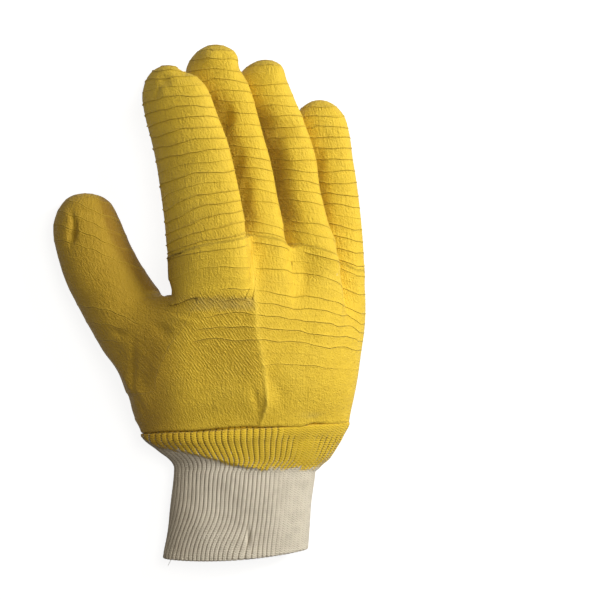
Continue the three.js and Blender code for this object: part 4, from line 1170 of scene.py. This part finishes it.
def skin_fields(skin, normal, points, strength):
    """The values that the latex's material reads at each point: crinkle count and strength, how thin
    the coat is, a greyer band and spot, how rough and how deep in painted shade the valleys are, the
    painted shade, and the painted highlight along the edge of the back."""
    x, y, _ = points.T
    part, up = skin.part, normal[:, 2]
    edge = np.interp(y, BACK_EDGE["y"], BACK_EDGE["x"])
    hand_or_thumb = np.isin(part, (HAND, THUMB))
    low_left = hand_or_thumb * smooth(up, 0.0, 0.5) * smooth(x, -44, -22)
    low_left = low_left * smooth(edge - x, -1, 2) * smooth(137 - y, 0, 4)
    strip = low_left * smooth(x, -16, -2) * smooth(y, 125.5, 127.5) * smooth(-y, -133.6, -132)
    beyond = (part == HAND) * smooth(up, 0.3, 0.8) * smooth(52 - x, 0, 26) * smooth(x - edge, -1, 1)
    on_index = (part == INDEX) * smooth(up, 0.2, 0.6) * smooth(190 - y, 0, 30)
    thin = 0.06 + low_left * (0.3 + 0.7 * smooth(x, -28, -6) * smooth(y, 82, 100))
    thin = thin + 0.45 * beyond * smooth(150 - y, 0, 10) * smooth(y, 84, 95) + 0.35 * on_index
    # greyer and darker in a band below the step under the index, and at a spot near the hem
    specks = np.exp(-(((x - 50) / 5) ** 2) - ((y - 73.5) / 1.4) ** 2)
    dust = 0.8 * strip + 0.5 * specks * (part == HAND) * smooth(up, 0, 0.5)
    # painted shade: the valleys beside the fingers and the thumb's flank towards the hand, which lie in shade;
    # rough also makes the bumps there lumpier and feeds the shade below
    shaded_thumb_flank = 0.6 * (part == THUMB) * smooth(normal[:, 0], 0.3, 0.8) * smooth(up, -0.2, 0.3)
    rough = np.maximum(valley_at(part, x, y), shaded_thumb_flank)
    on_thumb = (part == THUMB) * smooth(skin.along, 0, 34)
    from_left = 0.8 * hand_or_thumb * smooth(-x, 6, 30)
    shade = 0.75 * rough + on_thumb * (0.68 + 0.32 * smooth(normal[:, 0], 0.25, 0.75))
    shade = shade + (1 - on_thumb) * from_left
    # painted highlight: a pale line along the edge down the back, where its flank faces the light
    across = (x - edge) / np.where(x > edge, 0.9, 0.6)
    worn = np.exp(-(across**2)) * (part == HAND) * smooth(up, 0.2, 0.6)
    worn = worn * smooth(y, 70, 76) * smooth(-y, -162, -154)
    return {"count": skin.count, "strength": strength, "thin": thin, "dust": dust, "rough": rough,
            "shade": shade, "worn": worn}


class GLOVE_OT_coated_skin(bpy.types.Operator):
    """Makes the crinkled latex skin of hand, fingers and thumb in one piece"""

    bl_idname = "glove.coated_skin"
    bl_label = "Coated skin"

    def execute(self, context):
        s = context.scene.glove_looks
        pitch = s.crinkle_pitch / MM
        skin = coat(0.0, SKIN_STEPS, ROW_MARKS, pitch)
        skin.points = relax(skin.points, skin.quads, skin.tris, skin.soft, SKIN_RELAXED)
        # near the clefts and the thumb's hole the points may also slide
        joined = skin.calm * skin.soft * (skin.part == HAND)
        skin.points = relax(skin.points, skin.quads, skin.tris, joined, SKIN_SLID, 0.5)
        normal = normals_of(skin.points, skin.quads, skin.tris)
        lift, strength = relief(skin, normal, s.crinkle_height / MM, pitch)
        points = skin.points + normal * lift[:, None]
        points[:, 2] = np.maximum(points[:, 2], 0)
        faces = [skin.quads, skin.tris]
        fields = skin_fields(skin, normal, points, strength)
        cloth = cloth_map(faces, skin.around, skin.along, skin.full)
        piece = put_in_scene("latex_skin", points, faces, fields, cloth, [latex_material(s)])
        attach(piece, "root")
        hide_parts("hand_shell", "thumb")
        return {"FINISHED"}


class GLOVE_OT_lining(bpy.types.Operator):
    """Makes the cotton lining that shows through the wrist"""

    bl_idname = "glove.lining"
    bl_label = "Lining"

    def execute(self, context):
        s = context.scene.glove_looks
        skin = coat(LINING_INSET, LINING_STEPS, LINING_MARKS, LINING_PITCH)
        skin.points = relax(skin.points, skin.quads, skin.tris, skin.soft, LINING_RELAXED)
        # drawn in near the fingers' roots and in the fingers, where the skin is pressed in
        inward = 1.4 * skin.soft * (skin.points[:, 1] > 140) + 2.2 * np.isin(skin.part, (1, 2, 3, 4))
        skin.points -= normals_of(skin.points, skin.quads, skin.tris) * inward[:, None]
        faces = [skin.quads[:, ::-1], skin.tris[:, ::-1]]
        cloth = cloth_map(faces, skin.around, skin.along, skin.full)
        piece = put_in_scene("lining", skin.points, faces, {}, cloth, [lining_material(s)])
        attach(piece, "root")
        return {"FINISHED"}


class GLOVE_OT_rib_cuff(bpy.types.Operator):
    """Makes the rib cuff: its bare part and the part soaked with latex"""

    bl_idname = "glove.rib_cuff"
    bl_label = "Rib cuff"

    def execute(self, context):
        s = context.scene.glove_looks
        low = np.linspace(0, CUFF_LENGTH, 62)
        high = np.concatenate([np.linspace(CUFF_LENGTH, HEM_AT - 3, 30),
                               np.linspace(HEM_AT - 2.5, HEM_AT + TUCK, 20)])
        bare = make_rib("knit_cuff", low, s, rib_material("bare rib", s), True)
        soaked = make_rib("soaked_band", high, s, rib_material("soaked rib", s), False)
        for piece, node, slot in ((bare, "knit_wrist", "cotton_rib"), (soaked, "coated_rib", "soaked_rib")):
            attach(piece, "root")
            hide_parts(node)
        return {"FINISHED"}


class GLOVE_OT_loose_thread(bpy.types.Operator):
    """Makes the loose thread that hangs from the corner of the mouth"""

    bl_idname = "glove.loose_thread"
    bl_label = "Loose thread"

    def execute(self, context):
        s = context.scene.glove_looks
        rings, sides = 14, 6
        t = np.linspace(0, 1, rings)[:, None]
        length = s.thread_length / MM
        start = np.array([-22.0, 0.5, 2.2])
        path = start + np.hstack([0.6 * np.sin(4 * t) - 0.8 * t, -length * t, -2.0 * np.sqrt(t)])
        ring = np.linspace(0, 2 * np.pi, sides + 1)[None, :-1]
        thick = 0.16 * (1 - 0.5 * t)
        points = path[:, None] + np.stack([np.cos(ring) * thick, 0 * ring * thick, np.sin(ring) * thick], -1)
        points = np.vstack([points.reshape(-1, 3), path[:1], path[-1:]])
        ids = np.arange(rings * sides).reshape(rings, sides)
        nxt = np.roll(ids, -1, axis=1)
        quads = np.stack([ids[:-1], ids[1:], nxt[1:], nxt[:-1]], -1).reshape(-1, 4)
        ends = np.full((2, sides), rings * sides) + [[0], [1]]
        tris = np.vstack([np.stack([ids[0], nxt[0], ends[0]], -1), np.stack([nxt[-1], ids[-1], ends[1]], -1)])
        piece = put_in_scene("loose_thread", points, [quads, tris], {}, None, [thread_material(s)])
        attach(piece, "root")
        return {"FINISHED"}


def aim(thing, target):
    """Turns a light at a point."""
    thing.rotation_euler = (Vector(target) - thing.location).to_track_quat("-Z", "Y").to_euler()


class GLOVE_OT_stage(bpy.types.Operator):
    """Sets up the pale floor, the soft lights and the camera"""

    bl_idname = "glove.stage"
    bl_label = "Stage"

    def execute(self, context):
        s = context.scene.glove_looks
        scene = context.scene
        mesh = bpy.data.meshes.new("floor")
        square = ((-1, -1), (1, -1), (1, 1), (-1, 1))
        corners = [(x * FLOOR_HALF, y * FLOOR_HALF, -FLOOR_DROP) for x, y in square]
        mesh.from_pydata(corners, [], [(0, 1, 2, 3)])
        n = Nodes("floor", (0.93, 0.93, 0.93), 0.9)
        n.shader.inputs["Emission Color"].default_value = (1, 1, 1, 1)
        n.shader.inputs["Emission Strength"].default_value = FLOOR_GLOW
        grey = n.mix(n.noise(n.place(), 0.01), (0.3, 0.3, 0.3), (0.28, 0.28, 0.28))
        n.put(n.shader.inputs["Base Color"], grey)
        mesh.materials.append(n.material)
        floor = bpy.data.objects.new("floor", mesh)
        scene.collection.objects.link(floor)
        floor.visible_diffuse = False
        world = bpy.data.worlds.new("studio")
        world.use_nodes = True
        sky = world.node_tree.nodes["Background"]
        sky.inputs["Color"].default_value = SKY_COLOUR
        sky.inputs["Strength"].default_value = SKY_STRENGTH
        scene.world = world
        for name, where, size, share, colour in LIGHTS:
            data = bpy.data.lights.new(name, "AREA")
            data.shape, data.size, data.energy, data.color = "DISK", size, s.key_light * share, colour
            light = bpy.data.objects.new(name, data)
            light.location = where
            aim(light, LIGHTS_AIM)
            scene.collection.objects.link(light)
        data = bpy.data.cameras.new("camera")
        data.lens, data.sensor_width = LENS, SENSOR
        camera = bpy.data.objects.new("camera", data)
        camera.location = CAMERA_AT
        scene.collection.objects.link(camera)
        scene.camera = camera
        scene.view_settings.view_transform = "Standard"
        return {"FINISHED"}


class GLOVE_PT_panel(bpy.types.Panel):
    """Lists the glove's sizes and the pieces that can be made"""

    bl_label = "Glove"
    bl_idname = "GLOVE_PT_panel"
    bl_space_type = "VIEW_3D"
    bl_region_type = "UI"
    bl_category = "Glove"

    def draw(self, context):
        looks = context.scene.glove_looks
        for name in looks.__annotations__:
            self.layout.prop(looks, name)
        for operator in OPERATORS:
            self.layout.operator(operator.bl_idname)


OPERATORS = (GLOVE_OT_stage, GLOVE_OT_coated_skin, GLOVE_OT_lining, GLOVE_OT_rib_cuff, GLOVE_OT_loose_thread)
CLASSES = (GLOVE_PG_looks, *OPERATORS, GLOVE_PT_panel)


def register():
    for cls in CLASSES:
        bpy.utils.register_class(cls)
    bpy.types.Scene.glove_looks = PointerProperty(type=GLOVE_PG_looks)


def unregister():
    del bpy.types.Scene.glove_looks
    for cls in reversed(CLASSES):
        bpy.utils.unregister_class(cls)


def main():
    """Makes the stage and the pieces."""
    register()
    bpy.ops.glove.stage()
    bpy.ops.glove.coated_skin()
    bpy.ops.glove.lining()
    bpy.ops.glove.rib_cuff()
    bpy.ops.glove.loose_thread()


if __name__ == "__main__":
    main()
